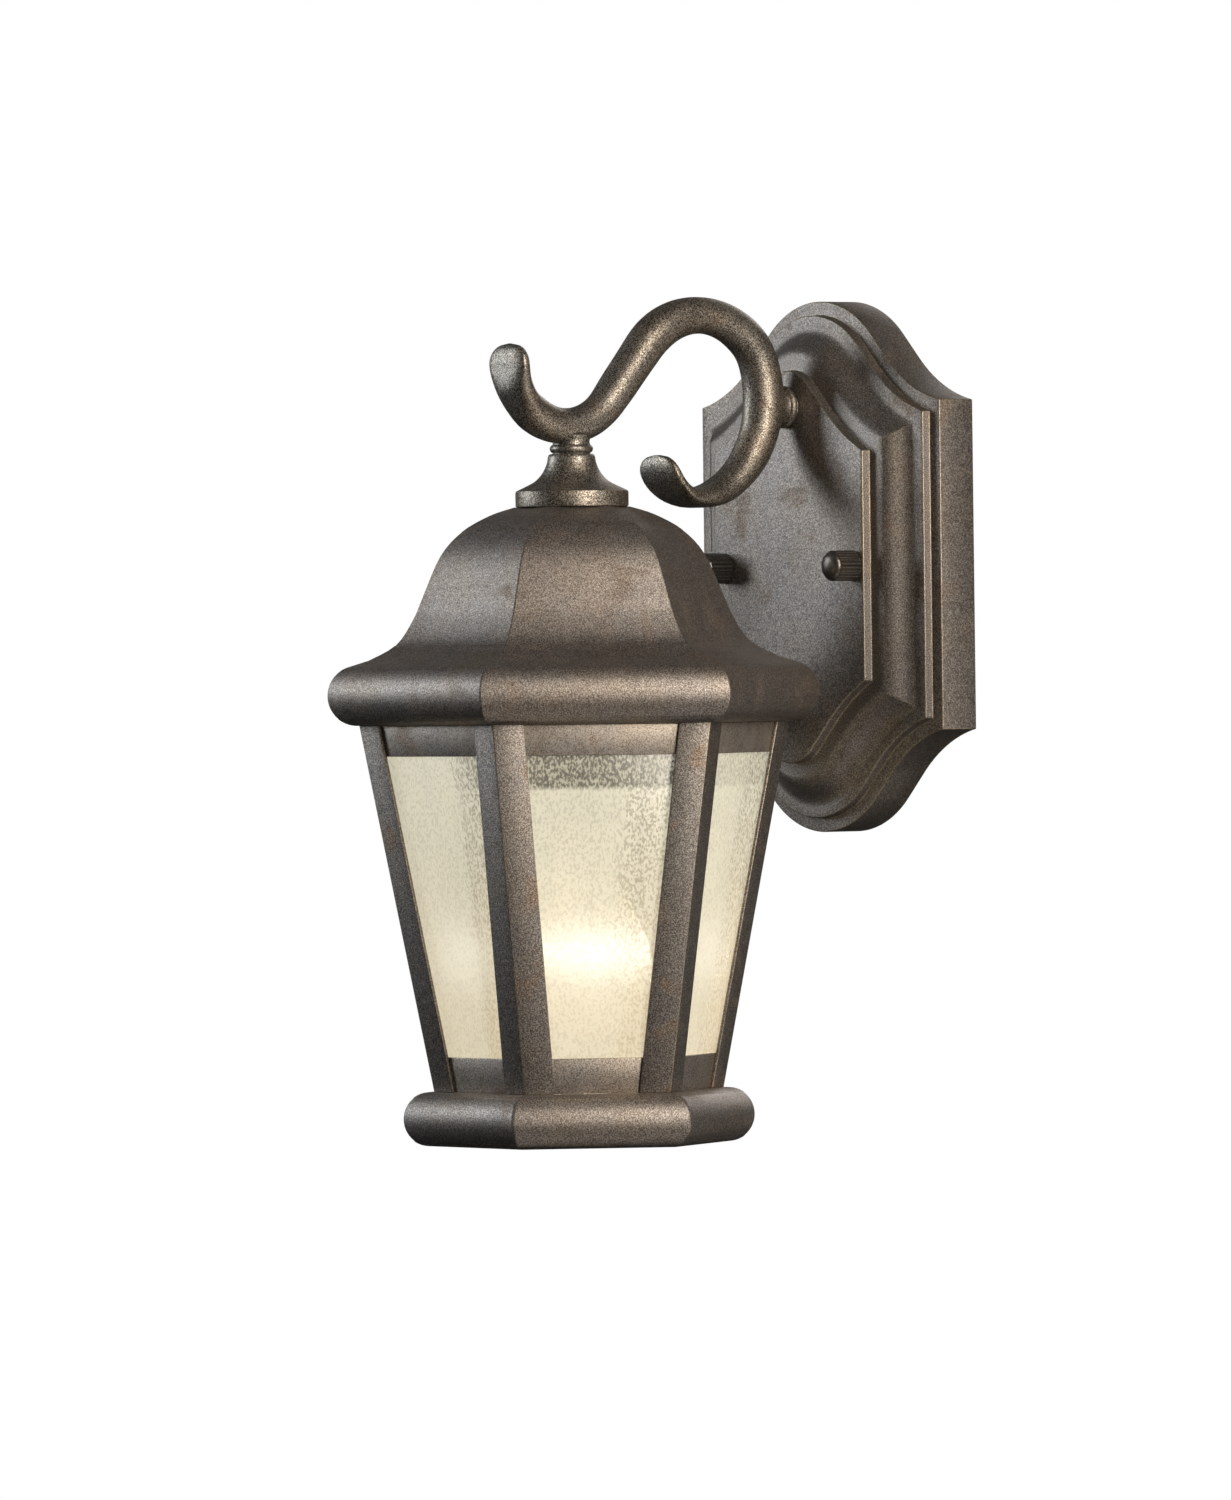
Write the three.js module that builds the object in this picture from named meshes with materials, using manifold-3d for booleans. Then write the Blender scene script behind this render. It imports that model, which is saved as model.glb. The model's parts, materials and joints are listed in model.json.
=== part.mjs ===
// Outdoor wall lantern: a six-sided glazed cage hung from a cast scroll arm on a stepped backplate.
// Millimetres. The wall is the plane y = 0, the lantern stands out along -y, and +z is up.
// The origin is on the wall, at the middle height of the backplate.
import * as THREE from 'three';
import { mergeVertices } from 'three/addons/utils/BufferGeometryUtils.js';
import Module from 'manifold-3d';

const wasm = await Module();
wasm.setup();

// ---------------------------------------------------------------- driving dimensions

const SIDES = 6;                      // sides of the roof, the cage and the base
const REACH = 146.2;                  // wall to the lantern's upright axis
const FIT = 0.3;                      // gap left around a piece that sits in a hole

// backplate: its outline, then its moulding as steps inward from the edge
const PLATE_HALF_WIDTH = 76.2;
const PLATE_CORNER_Z = 66.5;          // height of the side's corner above the middle
const PLATE_APEX_Z = 108;             // top of the arch above the middle
const PLATE_CROWN_R = 47;             // convex arc at the top
const PLATE_COVE_R = 64;              // concave arc down to the corner
const PLATE_WALL = 3;
const RIM_DEPTH = 17.8;               // plain edge, from the wall
const STEP_INSET = 5.8;
const STEP_DEPTH = 21.8;
const OGEE_INSET = 10;                // the ogee runs from here ...
const OGEE_TOP_INSET = 23;            // ... up to here
const OGEE_TOP_DEPTH = 30.8;
const PANEL_INSET = 28.3;
const PANEL_DEPTH = 35;               // the flat middle panel's face

// fixings of the plate
const STUD_X = 41.3;                  // half the distance between the two studs
const STUD_R = 2.05;
const CAP_NUT_R = 6.2;
const CAP_NUT_LENGTH = 11;            // knurled length, without the dome
const CAP_NUT_DOME = 2.4;
const CAP_NUT_TEETH = 20;
const BAR_LENGTH = 104;
const BAR_WIDTH = 24;
const BAR_THICK = 2;

// scroll arm: arcs in the plane x = 0, walked both ways from its lowest point over the neck.
// A leg is [radius, degrees]: a positive radius turns left, a negative one right, 0 is a straight in mm.
const BOSS_Z = 65;                    // height of the collar on the plate
const ARM_LOW_Y = -149.2;
const ARM_LOW_Z = 57;
const FRONT_CURL = [[-28.9, 48], [-25, 57]];
const HUMP_AND_LOOP = [[28.9, 49.4], [0, 28.9], [-36.9, 92.6], [-22.5, 26.4], [-41.8, 82.7], [-30, 26]];
const REAR_CURL = [[0, 2], [-17.4, 91]];
const COLLAR_R = 8.7;                 // round bead of each collar, against the plate and over the neck
const COLLAR_BEAD_R = 1.8;
const COLLAR_NECK_R = 7.7;
const COLLAR_LENGTH = 7;
const TIP_ROUND = 10;                 // length over which each tip of the arm is rounded off
const ARM_STEP = 4.6;                 // spacing of the arm's sections along its length
const NIPPLE_R = 4.85;                // threaded tubes, outside and inside
const NIPPLE_BORE = 3.5;
const WIRE_BORE = 3.4;

// neck and roof
const BELL_TOP_Z = 45.9;
const DISC_R = 22.7;
const DISC_TOP_Z = 31;
const ROOF_TOP_Z = 24.6;
const ROOF_WALL = 2.6;
const ROLL_R = 12;                    // half-round drip edge of the roof
const ROLL_CENTRE_R = 87.8;           // on the corner
const ROLL_Z = -50;

// cage and base, on the corners of the hexagon
const CAGE_TOP_Z = -57;
const CAGE_BOTTOM_Z = -208.8;
const CAGE_TOP_R = 88;
const CAGE_BOTTOM_R = 58.7;
const POST_FLANGE = 12.5;
const POST_SHEET = 1.5;
const RAIL_SHEET = 1;
const RAIL_TOP_Z = -62.4;
const RAIL_BOTTOM_Z = -207.4;
const RAIL_HEIGHT = 12.3;
const GLASS = 2.5;
const BASE_R = 71.4;
const BASE_BOTTOM_Z = -230.5;
const BASE_WALL = 2.5;

// lampholder and lamp, on the lantern's axis
const STRAP_Z = -38;
const HOLDER_TOP_Z = -48;
const LAMP_CONTACT_Z = -80;           // the lamp's contact; the lamp hangs below it
const LAMP_CAP_R = 13;
const LAMP_GLOBE_R = 30;
const LAMP_LENGTH = 110;

// ---------------------------------------------------------------- materials

const metal = (color, roughness) => new THREE.MeshStandardMaterial({ color, roughness, metalness: 0.85 });
const BRONZE = 0x5b5048;
const ZINC = 0xa8a9a6;
const BRASS = 0xb99a55;
const glassFinish = () => new THREE.MeshStandardMaterial({
  color: 0xe9e0bf, roughness: 0.15, metalness: 0, transparent: true, opacity: 0.45,
});

// ---------------------------------------------------------------- helpers

const degrees = THREE.MathUtils.degToRad;
const lantern = new THREE.Group();
const onAxis = new THREE.Group();     // everything that is built around the lantern's upright axis
onAxis.position.y = -REACH;
lantern.add(onAxis);

// Shared corners only, no collapsed triangles, faces turned outward.
function closed(geometry) {
  const bare = geometry.clone();
  for (const name of Object.keys(bare.attributes)) {
    if (name !== 'position') bare.deleteAttribute(name);
  }
  const merged = mergeVertices(bare, 1e-4);
  const kept = [];
  const index = merged.index.array;
  for (let i = 0; i < index.length; i += 3) {
    const [a, b, c] = [index[i], index[i + 1], index[i + 2]];
    if (a !== b && b !== c && c !== a) kept.push(a, b, c);
  }
  const point = merged.attributes.position;
  const corner = [new THREE.Vector3(), new THREE.Vector3(), new THREE.Vector3()];
  let volume = 0;
  for (let i = 0; i < kept.length; i += 3) {
    corner.forEach((v, k) => v.fromBufferAttribute(point, kept[i + k]));
    volume += corner[0].dot(corner[1].cross(corner[2]));
  }
  if (volume < 0) kept.reverse();
  merged.setIndex(kept);
  return merged;
}

function toSolid(geometry) {
  const shape = closed(geometry);
  return new wasm.Manifold(new wasm.Mesh({
    numProp: 3,
    vertProperties: new Float32Array(shape.attributes.position.array),
    triVerts: new Uint32Array(shape.index.array),
  }));
}

function fromSolid(solid) {
  const mesh = solid.getMesh();
  const geometry = new THREE.BufferGeometry();
  geometry.setAttribute('position', new THREE.BufferAttribute(mesh.vertProperties, 3));
  geometry.setIndex(new THREE.BufferAttribute(mesh.triVerts, 1));
  return geometry;
}

const join = (first, ...rest) => fromSolid(rest.reduce((s, g) => s.add(toSolid(g)), toSolid(first)));
const cut = (first, ...rest) => fromSolid(rest.reduce((s, g) => s.subtract(toSolid(g)), toSolid(first)));

function addPiece(name, geometry, material, parent = lantern) {
  const piece = new THREE.Mesh(closed(geometry), material);
  piece.name = name;
  parent.add(piece);
  return piece;
}

// A solid of revolution about the z axis; points are [radius, z].
function turned(points, segments = 32, start = 0) {
  const profile = points.map(([r, z]) => new THREE.Vector2(r, z));
  return new THREE.LatheGeometry(profile, segments, start).rotateX(Math.PI / 2);
}

// A tube or ring about the z axis, with its profile closed on itself.
function turnedRing(points, segments = 32, start = 0) {
  return turned([...points, points[0]], segments, start);
}

// A round bar along z from low to high.
const bar = (radius, low, high, segments = 24) =>
  turned([[0, low], [radius, low], [radius, high], [0, high]], segments);

const pipe = (outer, inner, low, high, segments = 24) =>
  turnedRing([[inner, low], [outer, low], [outer, high], [inner, high]], segments);

// Turns a shape built along +z so that it runs along -y, out from the wall.
const outward = (geometry) => geometry.rotateX(Math.PI / 2);

// A flat sheet: an outline in x and z, between two depths from the wall.
function sheetOnWall(shape, near, far) {
  const geometry = new THREE.ExtrudeGeometry(shape, { depth: far - near, bevelEnabled: false, curveSegments: 6 });
  return geometry.rotateX(Math.PI / 2).translate(0, -near, 0);
}

function arcPoints(cx, cy, radius, from, to, steps) {
  return Array.from({ length: steps + 1 }, (_, i) => {
    const angle = degrees(from + (to - from) * i / steps);
    return [cx + radius * Math.cos(angle), cy + radius * Math.sin(angle)];
  });
}

// Skins a list of rings, each with the same number of points, and closes both ends.
function skin(rings) {
  const count = rings[0].length;
  const points = rings.flat();
  const index = [];
  for (let r = 0; r + 1 < rings.length; r++) {
    for (let i = 0; i < count; i++) {
      const a = r * count + i;
      const b = r * count + (i + 1) % count;
      index.push(a, b, b + count, a, b + count, a + count);
    }
  }
  const endCap = (ring, offset, reverse) => {
    const normal = new THREE.Vector3();
    ring.forEach((p, i) => normal.add(p.clone().cross(ring[(i + 1) % count])));
    const turn = new THREE.Quaternion().setFromUnitVectors(normal.normalize(), new THREE.Vector3(0, 0, 1));
    const flat = ring.map((p) => p.clone().applyQuaternion(turn)).map((p) => new THREE.Vector2(p.x, p.y));
    for (const [a, b, c] of THREE.ShapeUtils.triangulateShape(flat, [])) {
      index.push(offset + a, offset + (reverse ? c : b), offset + (reverse ? b : c));
    }
  };
  endCap(rings[0], 0, true);
  endCap(rings.at(-1), (rings.length - 1) * count, false);
  const geometry = new THREE.BufferGeometry();
  geometry.setAttribute('position', new THREE.Float32BufferAttribute(points.flatMap((p) => p.toArray()), 3));
  geometry.setIndex(index);
  return geometry;
}

// A round tube along a curve.
function tube(curve, radius, steps, sides = 8) {
  const section = new THREE.Shape(arcPoints(0, 0, radius, 0, 360, sides).slice(0, -1)
    .map(([x, y]) => new THREE.Vector2(x, y)));
  return new THREE.ExtrudeGeometry(section, { steps, extrudePath: curve, bevelEnabled: false });
}

function hexNut(acrossFlats, bore, low, high) {
  const corner = acrossFlats / 2 / Math.cos(Math.PI / 6);
  return cut(turned([[0, low], [corner, low], [corner, high], [0, high]], 6), bar(bore, low - 1, high + 1, 20));
}

// ---------------------------------------------------------------- backplate

// The plate's outline moved inward by an inset. Every inset gives the same number of points.
const COVE_RISE = Math.SQRT1_2 * PLATE_COVE_R;
const CROWN_END = Math.SQRT1_2 * PLATE_CROWN_R;
const CROWN_Z = PLATE_APEX_Z - PLATE_CROWN_R;
// the cove's end slope, from the distance left between the crown and the corner
const SPAN_SUM = PLATE_HALF_WIDTH + PLATE_CORNER_Z - 2 * CROWN_END - CROWN_Z - 2 * COVE_RISE;
const COVE_END = Math.asin(-SPAN_SUM / PLATE_COVE_R * Math.SQRT1_2) - Math.PI / 4;
const COVE_X = PLATE_HALF_WIDTH + PLATE_COVE_R * Math.sin(COVE_END);
const COVE_Z = PLATE_CORNER_Z + PLATE_COVE_R * Math.cos(COVE_END);

function plateOutline(inset, depth) {
  const crownSteps = 6;
  const coveSteps = 5;
  const side = PLATE_HALF_WIDTH - inset;
  const coveR = PLATE_COVE_R + inset;
  const endAngle = THREE.MathUtils.radToDeg(Math.asin((COVE_X - side) / coveR));
  const quarter = [
    ...arcPoints(0, CROWN_Z, PLATE_CROWN_R - inset, 90, 45, crownSteps),
    ...arcPoints(COVE_X, COVE_Z, coveR, 225, 270 - endAngle, coveSteps),
  ];
  const right = [...quarter, ...quarter.map(([x, z]) => [x, -z]).reverse()];
  const left = right.map(([x, z]) => [-x, z]).reverse().slice(1, -1);
  return [...right, ...left].map(([x, z]) => new THREE.Vector3(x, -depth, z));
}

function ogee(fromInset, fromDepth, toInset, toDepth, steps) {
  const pull = (toInset - fromInset) * 0.45;
  const curve = new THREE.CubicBezierCurve(
    new THREE.Vector2(fromInset, fromDepth),
    new THREE.Vector2(fromInset + pull, fromDepth),
    new THREE.Vector2(toInset - pull, toDepth),
    new THREE.Vector2(toInset, toDepth),
  );
  return curve.getPoints(steps).map((p) => [p.x, p.y]);
}

function makeBackplate() {
  const outside = [
    [0, 0],
    [0, RIM_DEPTH],
    [STEP_INSET, RIM_DEPTH],
    [STEP_INSET, STEP_DEPTH],
    ...ogee(OGEE_INSET, STEP_DEPTH, OGEE_TOP_INSET, OGEE_TOP_DEPTH, 6),
    [PANEL_INSET, OGEE_TOP_DEPTH],
    [PANEL_INSET, PANEL_DEPTH],
  ];
  const inside = [
    [PLATE_WALL, 0],
    [PLATE_WALL, RIM_DEPTH - PLATE_WALL],
    [STEP_INSET + PLATE_WALL, RIM_DEPTH - PLATE_WALL],
    [STEP_INSET + PLATE_WALL, STEP_DEPTH - PLATE_WALL],
    ...ogee(OGEE_INSET + 2.5, STEP_DEPTH - PLATE_WALL, OGEE_TOP_INSET + 2.5, OGEE_TOP_DEPTH - PLATE_WALL, 4),
    [PANEL_INSET + PLATE_WALL, OGEE_TOP_DEPTH - PLATE_WALL],
    [PANEL_INSET + PLATE_WALL, PANEL_DEPTH - PLATE_WALL],
  ];
  const rings = [...inside.reverse(), ...outside].map(([inset, depth]) => plateOutline(inset, depth));
  const through = (x, z, radius) => outward(bar(radius, PANEL_DEPTH - 5, PANEL_DEPTH + 2, 20)).translate(x, 0, z);
  return cut(
    skin(rings),
    through(-STUD_X, 0, STUD_R + FIT),
    through(STUD_X, 0, STUD_R + FIT),
    through(0, BOSS_Z, NIPPLE_R + FIT),
  );
}
addPiece('backplate', makeBackplate(), metal(BRONZE, 0.5));

// ---------------------------------------------------------------- fixings behind and through the plate

const GROUND_X = 20;
const SLOT_X = 33.8;                  // a slot on each side takes a screw of the outlet box
const SLOT_Z = 6.5;
const SLOT_TRAVEL = 2;
const SLOT_R = 2.2;

function makeCrossbar() {
  const outline = new THREE.Shape();
  const half = BAR_LENGTH / 2;
  const end = BAR_WIDTH / 2;
  outline.moveTo(-half + end, -end);
  outline.lineTo(half - end, -end);
  outline.absarc(half - end, 0, end, -Math.PI / 2, Math.PI / 2, false);
  outline.lineTo(-half + end, end);
  outline.absarc(-half + end, 0, end, Math.PI / 2, 3 * Math.PI / 2, false);
  const roundHole = (x, radius) => new THREE.Path().absarc(x, 0, radius, 0, 2 * Math.PI, true);
  outline.holes.push(roundHole(0, 5), roundHole(STUD_X, STUD_R + FIT), roundHole(-STUD_X, STUD_R + FIT));
  outline.holes.push(roundHole(GROUND_X, STUD_R + FIT));
  for (const side of [-1, 1]) {
    const slot = new THREE.Path();
    slot.absarc(side * SLOT_X + SLOT_TRAVEL, side * SLOT_Z, SLOT_R, -Math.PI / 2, Math.PI / 2, false);
    slot.absarc(side * SLOT_X - SLOT_TRAVEL, side * SLOT_Z, SLOT_R, Math.PI / 2, 3 * Math.PI / 2, false);
    outline.holes.push(slot);
  }
  return sheetOnWall(outline, 0, BAR_THICK);
}
addPiece('crossbar', makeCrossbar(), metal(ZINC, 0.4));

// A cap nut: a straight-knurled barrel with a low dome, bored from the plate side. Built along +z.
function makeCapNut() {
  const ring = (radius, z, groove) => Array.from({ length: CAP_NUT_TEETH * 2 }, (_, i) => {
    const r = i % 2 ? radius - groove : radius;
    const angle = Math.PI * i / CAP_NUT_TEETH;
    return new THREE.Vector3(r * Math.cos(angle), r * Math.sin(angle), z);
  });
  const end = CAP_NUT_LENGTH;
  const body = skin([
    ring(CAP_NUT_R - 0.5, 0, 0),
    ring(CAP_NUT_R, 0.6, 0.45),
    ring(CAP_NUT_R, end - 0.8, 0.45),
    ring(CAP_NUT_R - 0.4, end, 0),
    ring(CAP_NUT_R * 0.82, end + CAP_NUT_DOME * 0.5, 0),
    ring(CAP_NUT_R * 0.55, end + CAP_NUT_DOME * 0.84, 0),
    ring(CAP_NUT_R * 0.2, end + CAP_NUT_DOME, 0),
  ]);
  return cut(body, bar(STUD_R + FIT, -1, end - 1, 20));
}

for (const [side, x] of [['left', -STUD_X], ['right', STUD_X]]) {
  const stud = outward(bar(STUD_R, 0, PANEL_DEPTH + CAP_NUT_LENGTH - 3, 16));
  addPiece(`stud_${side}`, stud, metal(ZINC, 0.4)).position.x = x;
  const lockNut = outward(hexNut(7.9, STUD_R + 0.1, BAR_THICK, BAR_THICK + 3));
  addPiece(`stud_nut_${side}`, lockNut, metal(ZINC, 0.4)).position.x = x;
  const capNut = addPiece(`cap_nut_${side}`, outward(makeCapNut()), metal(BRONZE, 0.45));
  capNut.position.set(x, -PANEL_DEPTH - 0.05, 0);
}

const groundScrew = turned([
  [0, 0], [STUD_R, 0], [STUD_R, BAR_THICK + 1.3], [4.4, BAR_THICK + 1.3],
  [4.4, BAR_THICK + 2.6], [3.4, BAR_THICK + 3.4], [0, BAR_THICK + 3.4],
], 20);
addPiece('ground_screw', outward(groundScrew).translate(GROUND_X, 0, 0), metal(0x2f7d45, 0.4));

// ---------------------------------------------------------------- scroll arm

// Walks arcs and straights in the (y, z) plane from the arm's lowest point.
function walk(heading, legs, step) {
  const stations = [{ y: ARM_LOW_Y, z: ARM_LOW_Z, heading, s: 0 }];
  for (const [radius, amount] of legs) {
    const length = radius === 0 ? amount : Math.abs(radius) * degrees(amount);
    const count = Math.ceil(length / step);
    const turn = radius === 0 ? 0 : Math.sign(radius) * amount / count;
    for (let i = 0; i < count; i++) {
      const last = stations.at(-1);
      const chord = radius === 0 ? length / count : 2 * Math.abs(radius) * Math.sin(degrees(Math.abs(turn) / 2));
      const mid = degrees(last.heading + turn / 2);
      stations.push({
        y: last.y + chord * Math.cos(mid),
        z: last.z + chord * Math.sin(mid),
        heading: last.heading + turn,
        s: last.s + length / count,
      });
    }
  }
  return stations;
}

const toFront = walk(180, FRONT_CURL, ARM_STEP);
const toRear = walk(0, [...HUMP_AND_LOOP, ...REAR_CURL], ARM_STEP);
const FRONT_LENGTH = toFront.at(-1).s;
const ARM_LENGTH = FRONT_LENGTH + toRear.at(-1).s;
const armLine = [
  ...toFront.slice(1).reverse().map((p) => ({ ...p, heading: p.heading - 180, s: FRONT_LENGTH - p.s })),
  ...toRear.map((p) => ({ ...p, s: FRONT_LENGTH + p.s })),
];

// Section of the arm along its length: [length from the front tip, half width, half thickness].
const ARM_SECTIONS = [
  [0, 11.2, 2.7],
  [8, 11.6, 2.9],
  [20, 9.7, 5.2],
  [32, 7.9, 7.5],
  [50, 7.2, 7.2],
  [66, 7.2, 7.2],
  [86, 7.8, 7.8],
  [110, 8.2, 8.2],
  [138, 7.4, 7.4],
  [165, 8, 8],
  [190, 8.4, 8.4],
  [208, 7.8, 7.7],
  [228, 8.2, 6.1],
  [248, 10.4, 4.2],
  [264, 12.4, 2.5],
  [ARM_LENGTH, 12, 2],
];

function armSection(s) {
  let k = 0;
  while (k < ARM_SECTIONS.length - 2 && s > ARM_SECTIONS[k + 1][0]) k++;
  const [from, to] = [ARM_SECTIONS[k], ARM_SECTIONS[k + 1]];
  const mix = THREE.MathUtils.smoothstep(s, from[0], to[0]);
  const width = THREE.MathUtils.lerp(from[1], to[1], mix);
  const thick = THREE.MathUtils.lerp(from[2], to[2], mix);
  const fromTip = Math.min(1, Math.min(s, ARM_LENGTH - s) / TIP_ROUND);
  const rounding = Math.sqrt(Math.max(0, 1 - (1 - fromTip) ** 2));
  return { width: width * Math.max(rounding, 0.25), thick: thick * Math.max(rounding, 0.5) };
}

// A collar built along +z: a bead with a groove behind it.
function makeCollar(start) {
  const end = start + COLLAR_LENGTH;
  return turned([
    [0, start],
    [COLLAR_R - 1.1, start],
    ...arcPoints(COLLAR_R - COLLAR_BEAD_R, start + 1.9, COLLAR_BEAD_R, -70, 70, 6),
    [COLLAR_NECK_R, start + 4],
    [COLLAR_NECK_R, end],
    [0, end],
  ], 28);
}

function makeArm() {
  const around = 20;
  const finer = [];
  for (const [i, station] of armLine.entries()) {
    const next = armLine[i + 1];
    finer.push(station);
    const nearTip = Math.min(station.s, ARM_LENGTH - station.s - ARM_STEP) < TIP_ROUND;
    if (next && nearTip) {
      const mid = (key) => (station[key] + next[key]) / 2;
      finer.push({ y: mid('y'), z: mid('z'), heading: mid('heading'), s: mid('s') });
    }
  }
  const rings = finer.map(({ y, z, heading, s }) => {
    const { width, thick } = armSection(s);
    const flatness = 1 - 0.35 * THREE.MathUtils.clamp((width / thick - 1) / 3, 0, 1);
    const lean = degrees(heading + 90);
    return Array.from({ length: around }, (_, i) => {
      const angle = 2 * Math.PI * i / around;
      const across = width * Math.sign(Math.cos(angle)) * Math.abs(Math.cos(angle)) ** flatness;
      const up = thick * Math.sign(Math.sin(angle)) * Math.abs(Math.sin(angle)) ** flatness;
      return new THREE.Vector3(across, y + up * Math.cos(lean), z + up * Math.sin(lean));
    });
  });
  const plateCollar = outward(makeCollar(PANEL_DEPTH)).translate(0, 0, BOSS_Z);
  const neckCollar = makeCollar(BELL_TOP_Z + 0.1).translate(0, -REACH, 0);
  const plateBore = outward(bar(NIPPLE_R + FIT, PANEL_DEPTH - 1, NIPPLE_END, 20)).translate(0, 0, BOSS_Z);
  const neckBore = bar(NIPPLE_R + FIT, BELL_TOP_Z - 1, NECK_NIPPLE_TOP + 0.4, 20).translate(0, -REACH, 0);
  const whole = join(skin(rings), plateCollar, neckCollar);
  const wireHole = tube(wireWay(0, WIRE_HOLE_OVERRUN, WIRE_HOLE_OVERRUN), WIRE_BORE, 44, 10);
  return cut(whole, plateBore, neckBore, wireHole);
}

// The wires' way: up through the neck, over the hump along the arm's middle, and back through the plate.
const NIPPLE_END = PANEL_DEPTH + 7;
const NECK_NIPPLE_TOP = 54;
const WIRE_HOLE_OVERRUN = 6;          // the hole in the arm starts and ends this far inside the two tubes
function wireWay(x, below, behind, tail = []) {
  const along = armLine.filter(({ s }) => s > 78 && s < 172).filter((_, i) => i % 3 === 0);
  const points = [
    [-REACH, NECK_NIPPLE_TOP - below],
    [-REACH, NECK_NIPPLE_TOP - 5],
    [-REACH + 0.3, NECK_NIPPLE_TOP],
    [-REACH + 4, NECK_NIPPLE_TOP + 6],
    ...along.map(({ y, z }) => [y, z]),
    [-PANEL_DEPTH - 10.5, BOSS_Z + 3.5],
    [-PANEL_DEPTH - 7, BOSS_Z + 0.3],
    [-PANEL_DEPTH - 3, BOSS_Z],
    [-PANEL_DEPTH - 6 + behind, BOSS_Z],
    ...tail,
  ];
  return new THREE.CatmullRomCurve3(points.map(([y, z]) => new THREE.Vector3(x, y, z)));
}

addPiece('arm', makeArm(), metal(BRONZE, 0.4));
const armNipple = outward(pipe(NIPPLE_R, NIPPLE_BORE, PANEL_DEPTH - 9.5, NIPPLE_END - FIT)).translate(0, 0, BOSS_Z);
addPiece('arm_nipple', armNipple, metal(ZINC, 0.4));
const PANEL_BACK = PANEL_DEPTH - PLATE_WALL;
const armWasher = outward(pipe(8.5, NIPPLE_R + FIT, PANEL_BACK - 1, PANEL_BACK)).translate(0, 0, BOSS_Z);
addPiece('arm_washer', armWasher, metal(ZINC, 0.4));
const armLockNut = outward(hexNut(14, NIPPLE_R + 0.1, PANEL_BACK - 4, PANEL_BACK - 1)).translate(0, 0, BOSS_Z);
addPiece('arm_lock_nut', armLockNut, metal(ZINC, 0.4));

// ---------------------------------------------------------------- neck and roof

const neckBell = turnedRing([
  [NIPPLE_R + FIT, ROOF_TOP_Z],
  [DISC_R, ROOF_TOP_Z],
  [DISC_R, DISC_TOP_Z - 0.6],
  [DISC_R - 0.8, DISC_TOP_Z + 0.2],
  ...new THREE.SplineCurve([
    new THREE.Vector2(19.6, 32.4),
    new THREE.Vector2(14.9, 34.9),
    new THREE.Vector2(11.8, 38.2),
    new THREE.Vector2(10, 42),
    new THREE.Vector2(9.5, 44.6),
  ]).getPoints(8).map((p) => [p.x, p.y]),
  [8.9, BELL_TOP_Z - 0.3],
  [8.2, BELL_TOP_Z],
  [NIPPLE_R + FIT, BELL_TOP_Z],
], 36);
addPiece('neck_bell', neckBell, metal(BRONZE, 0.5), onAxis);
addPiece('neck_nipple', pipe(NIPPLE_R, NIPPLE_BORE, HOLDER_TOP_Z - 6, NECK_NIPPLE_TOP), metal(ZINC, 0.4), onAxis);

// A hexagonal shell of revolution, with a flat side to the front.
const HEX_START = Math.PI / SIDES;
const hexRing = (points) => turnedRing(points, SIDES, HEX_START);

function makeRoof() {
  const bellCurve = new THREE.SplineCurve([
    new THREE.Vector2(23.5, ROOF_TOP_Z),
    new THREE.Vector2(33.4, 21.4),
    new THREE.Vector2(44.8, 15),
    new THREE.Vector2(53.6, 5.4),
    new THREE.Vector2(60.7, -10.3),
    new THREE.Vector2(65, -20),
    new THREE.Vector2(72, -30),
    new THREE.Vector2(83, -36),
  ]);
  const bell = bellCurve.getPoints(14).map((p) => [p.x, p.y]);
  const roll = arcPoints(ROLL_CENTRE_R, ROLL_Z, ROLL_R, 72, -90, 9);
  const innerR = (r) => r - ROOF_WALL * 1.3;
  const innerBell = bellCurve.getPoints(8).map((p) => [innerR(p.x), p.y - ROOF_WALL]);
  const innerRoll = arcPoints(ROLL_CENTRE_R, ROLL_Z, ROLL_R - ROOF_WALL, 60, -60, 6);
  const lip = ROLL_CENTRE_R + 1.2;
  return hexRing([
    [NIPPLE_R + 2, ROOF_TOP_Z],
    ...bell,
    ...roll,
    [lip, ROLL_Z - ROLL_R],
    [lip, ROLL_Z - ROLL_R + ROOF_WALL],
    ...innerRoll.reverse(),
    ...innerBell.reverse(),
    [NIPPLE_R + 2, ROOF_TOP_Z - ROOF_WALL],
  ]);
}
addPiece('roof', makeRoof(), metal(BRONZE, 0.5), onAxis);

// ---------------------------------------------------------------- cage: posts, rails and panes

const CAGE_HEIGHT = CAGE_TOP_Z - CAGE_BOTTOM_Z;
const LEAN = (CAGE_TOP_R - CAGE_BOTTOM_R) / CAGE_HEIGHT;              // of a corner, per mm of height
const FLAT = Math.cos(Math.PI / SIDES);                              // apothem of a corner radius of 1
const FACE_TILT = Math.atan(LEAN * FLAT);

// A V-shaped post built at its foot on the +x axis, then sheared outward as it rises.
function makePost() {
  const along = new THREE.Vector2(-Math.sin(Math.PI / SIDES), Math.cos(Math.PI / SIDES));
  const flange = along.clone().multiplyScalar(POST_FLANGE);
  const inset = POST_SHEET / FLAT;
  const sheet = new THREE.Vector2(FLAT, Math.sin(Math.PI / SIDES)).multiplyScalar(-POST_SHEET);
  const outline = new THREE.Shape([
    new THREE.Vector2(0, 0),
    flange,
    flange.clone().add(sheet),
    new THREE.Vector2(-inset, 0),
    new THREE.Vector2(flange.x + sheet.x, -flange.y - sheet.y),
    new THREE.Vector2(flange.x, -flange.y),
  ]);
  const geometry = new THREE.ExtrudeGeometry(outline, { depth: CAGE_HEIGHT, bevelEnabled: false });
  geometry.applyMatrix4(new THREE.Matrix4().makeShear(0, 0, 0, 0, LEAN, 0));
  return geometry.translate(CAGE_BOTTOM_R, 0, CAGE_BOTTOM_Z);
}

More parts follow.
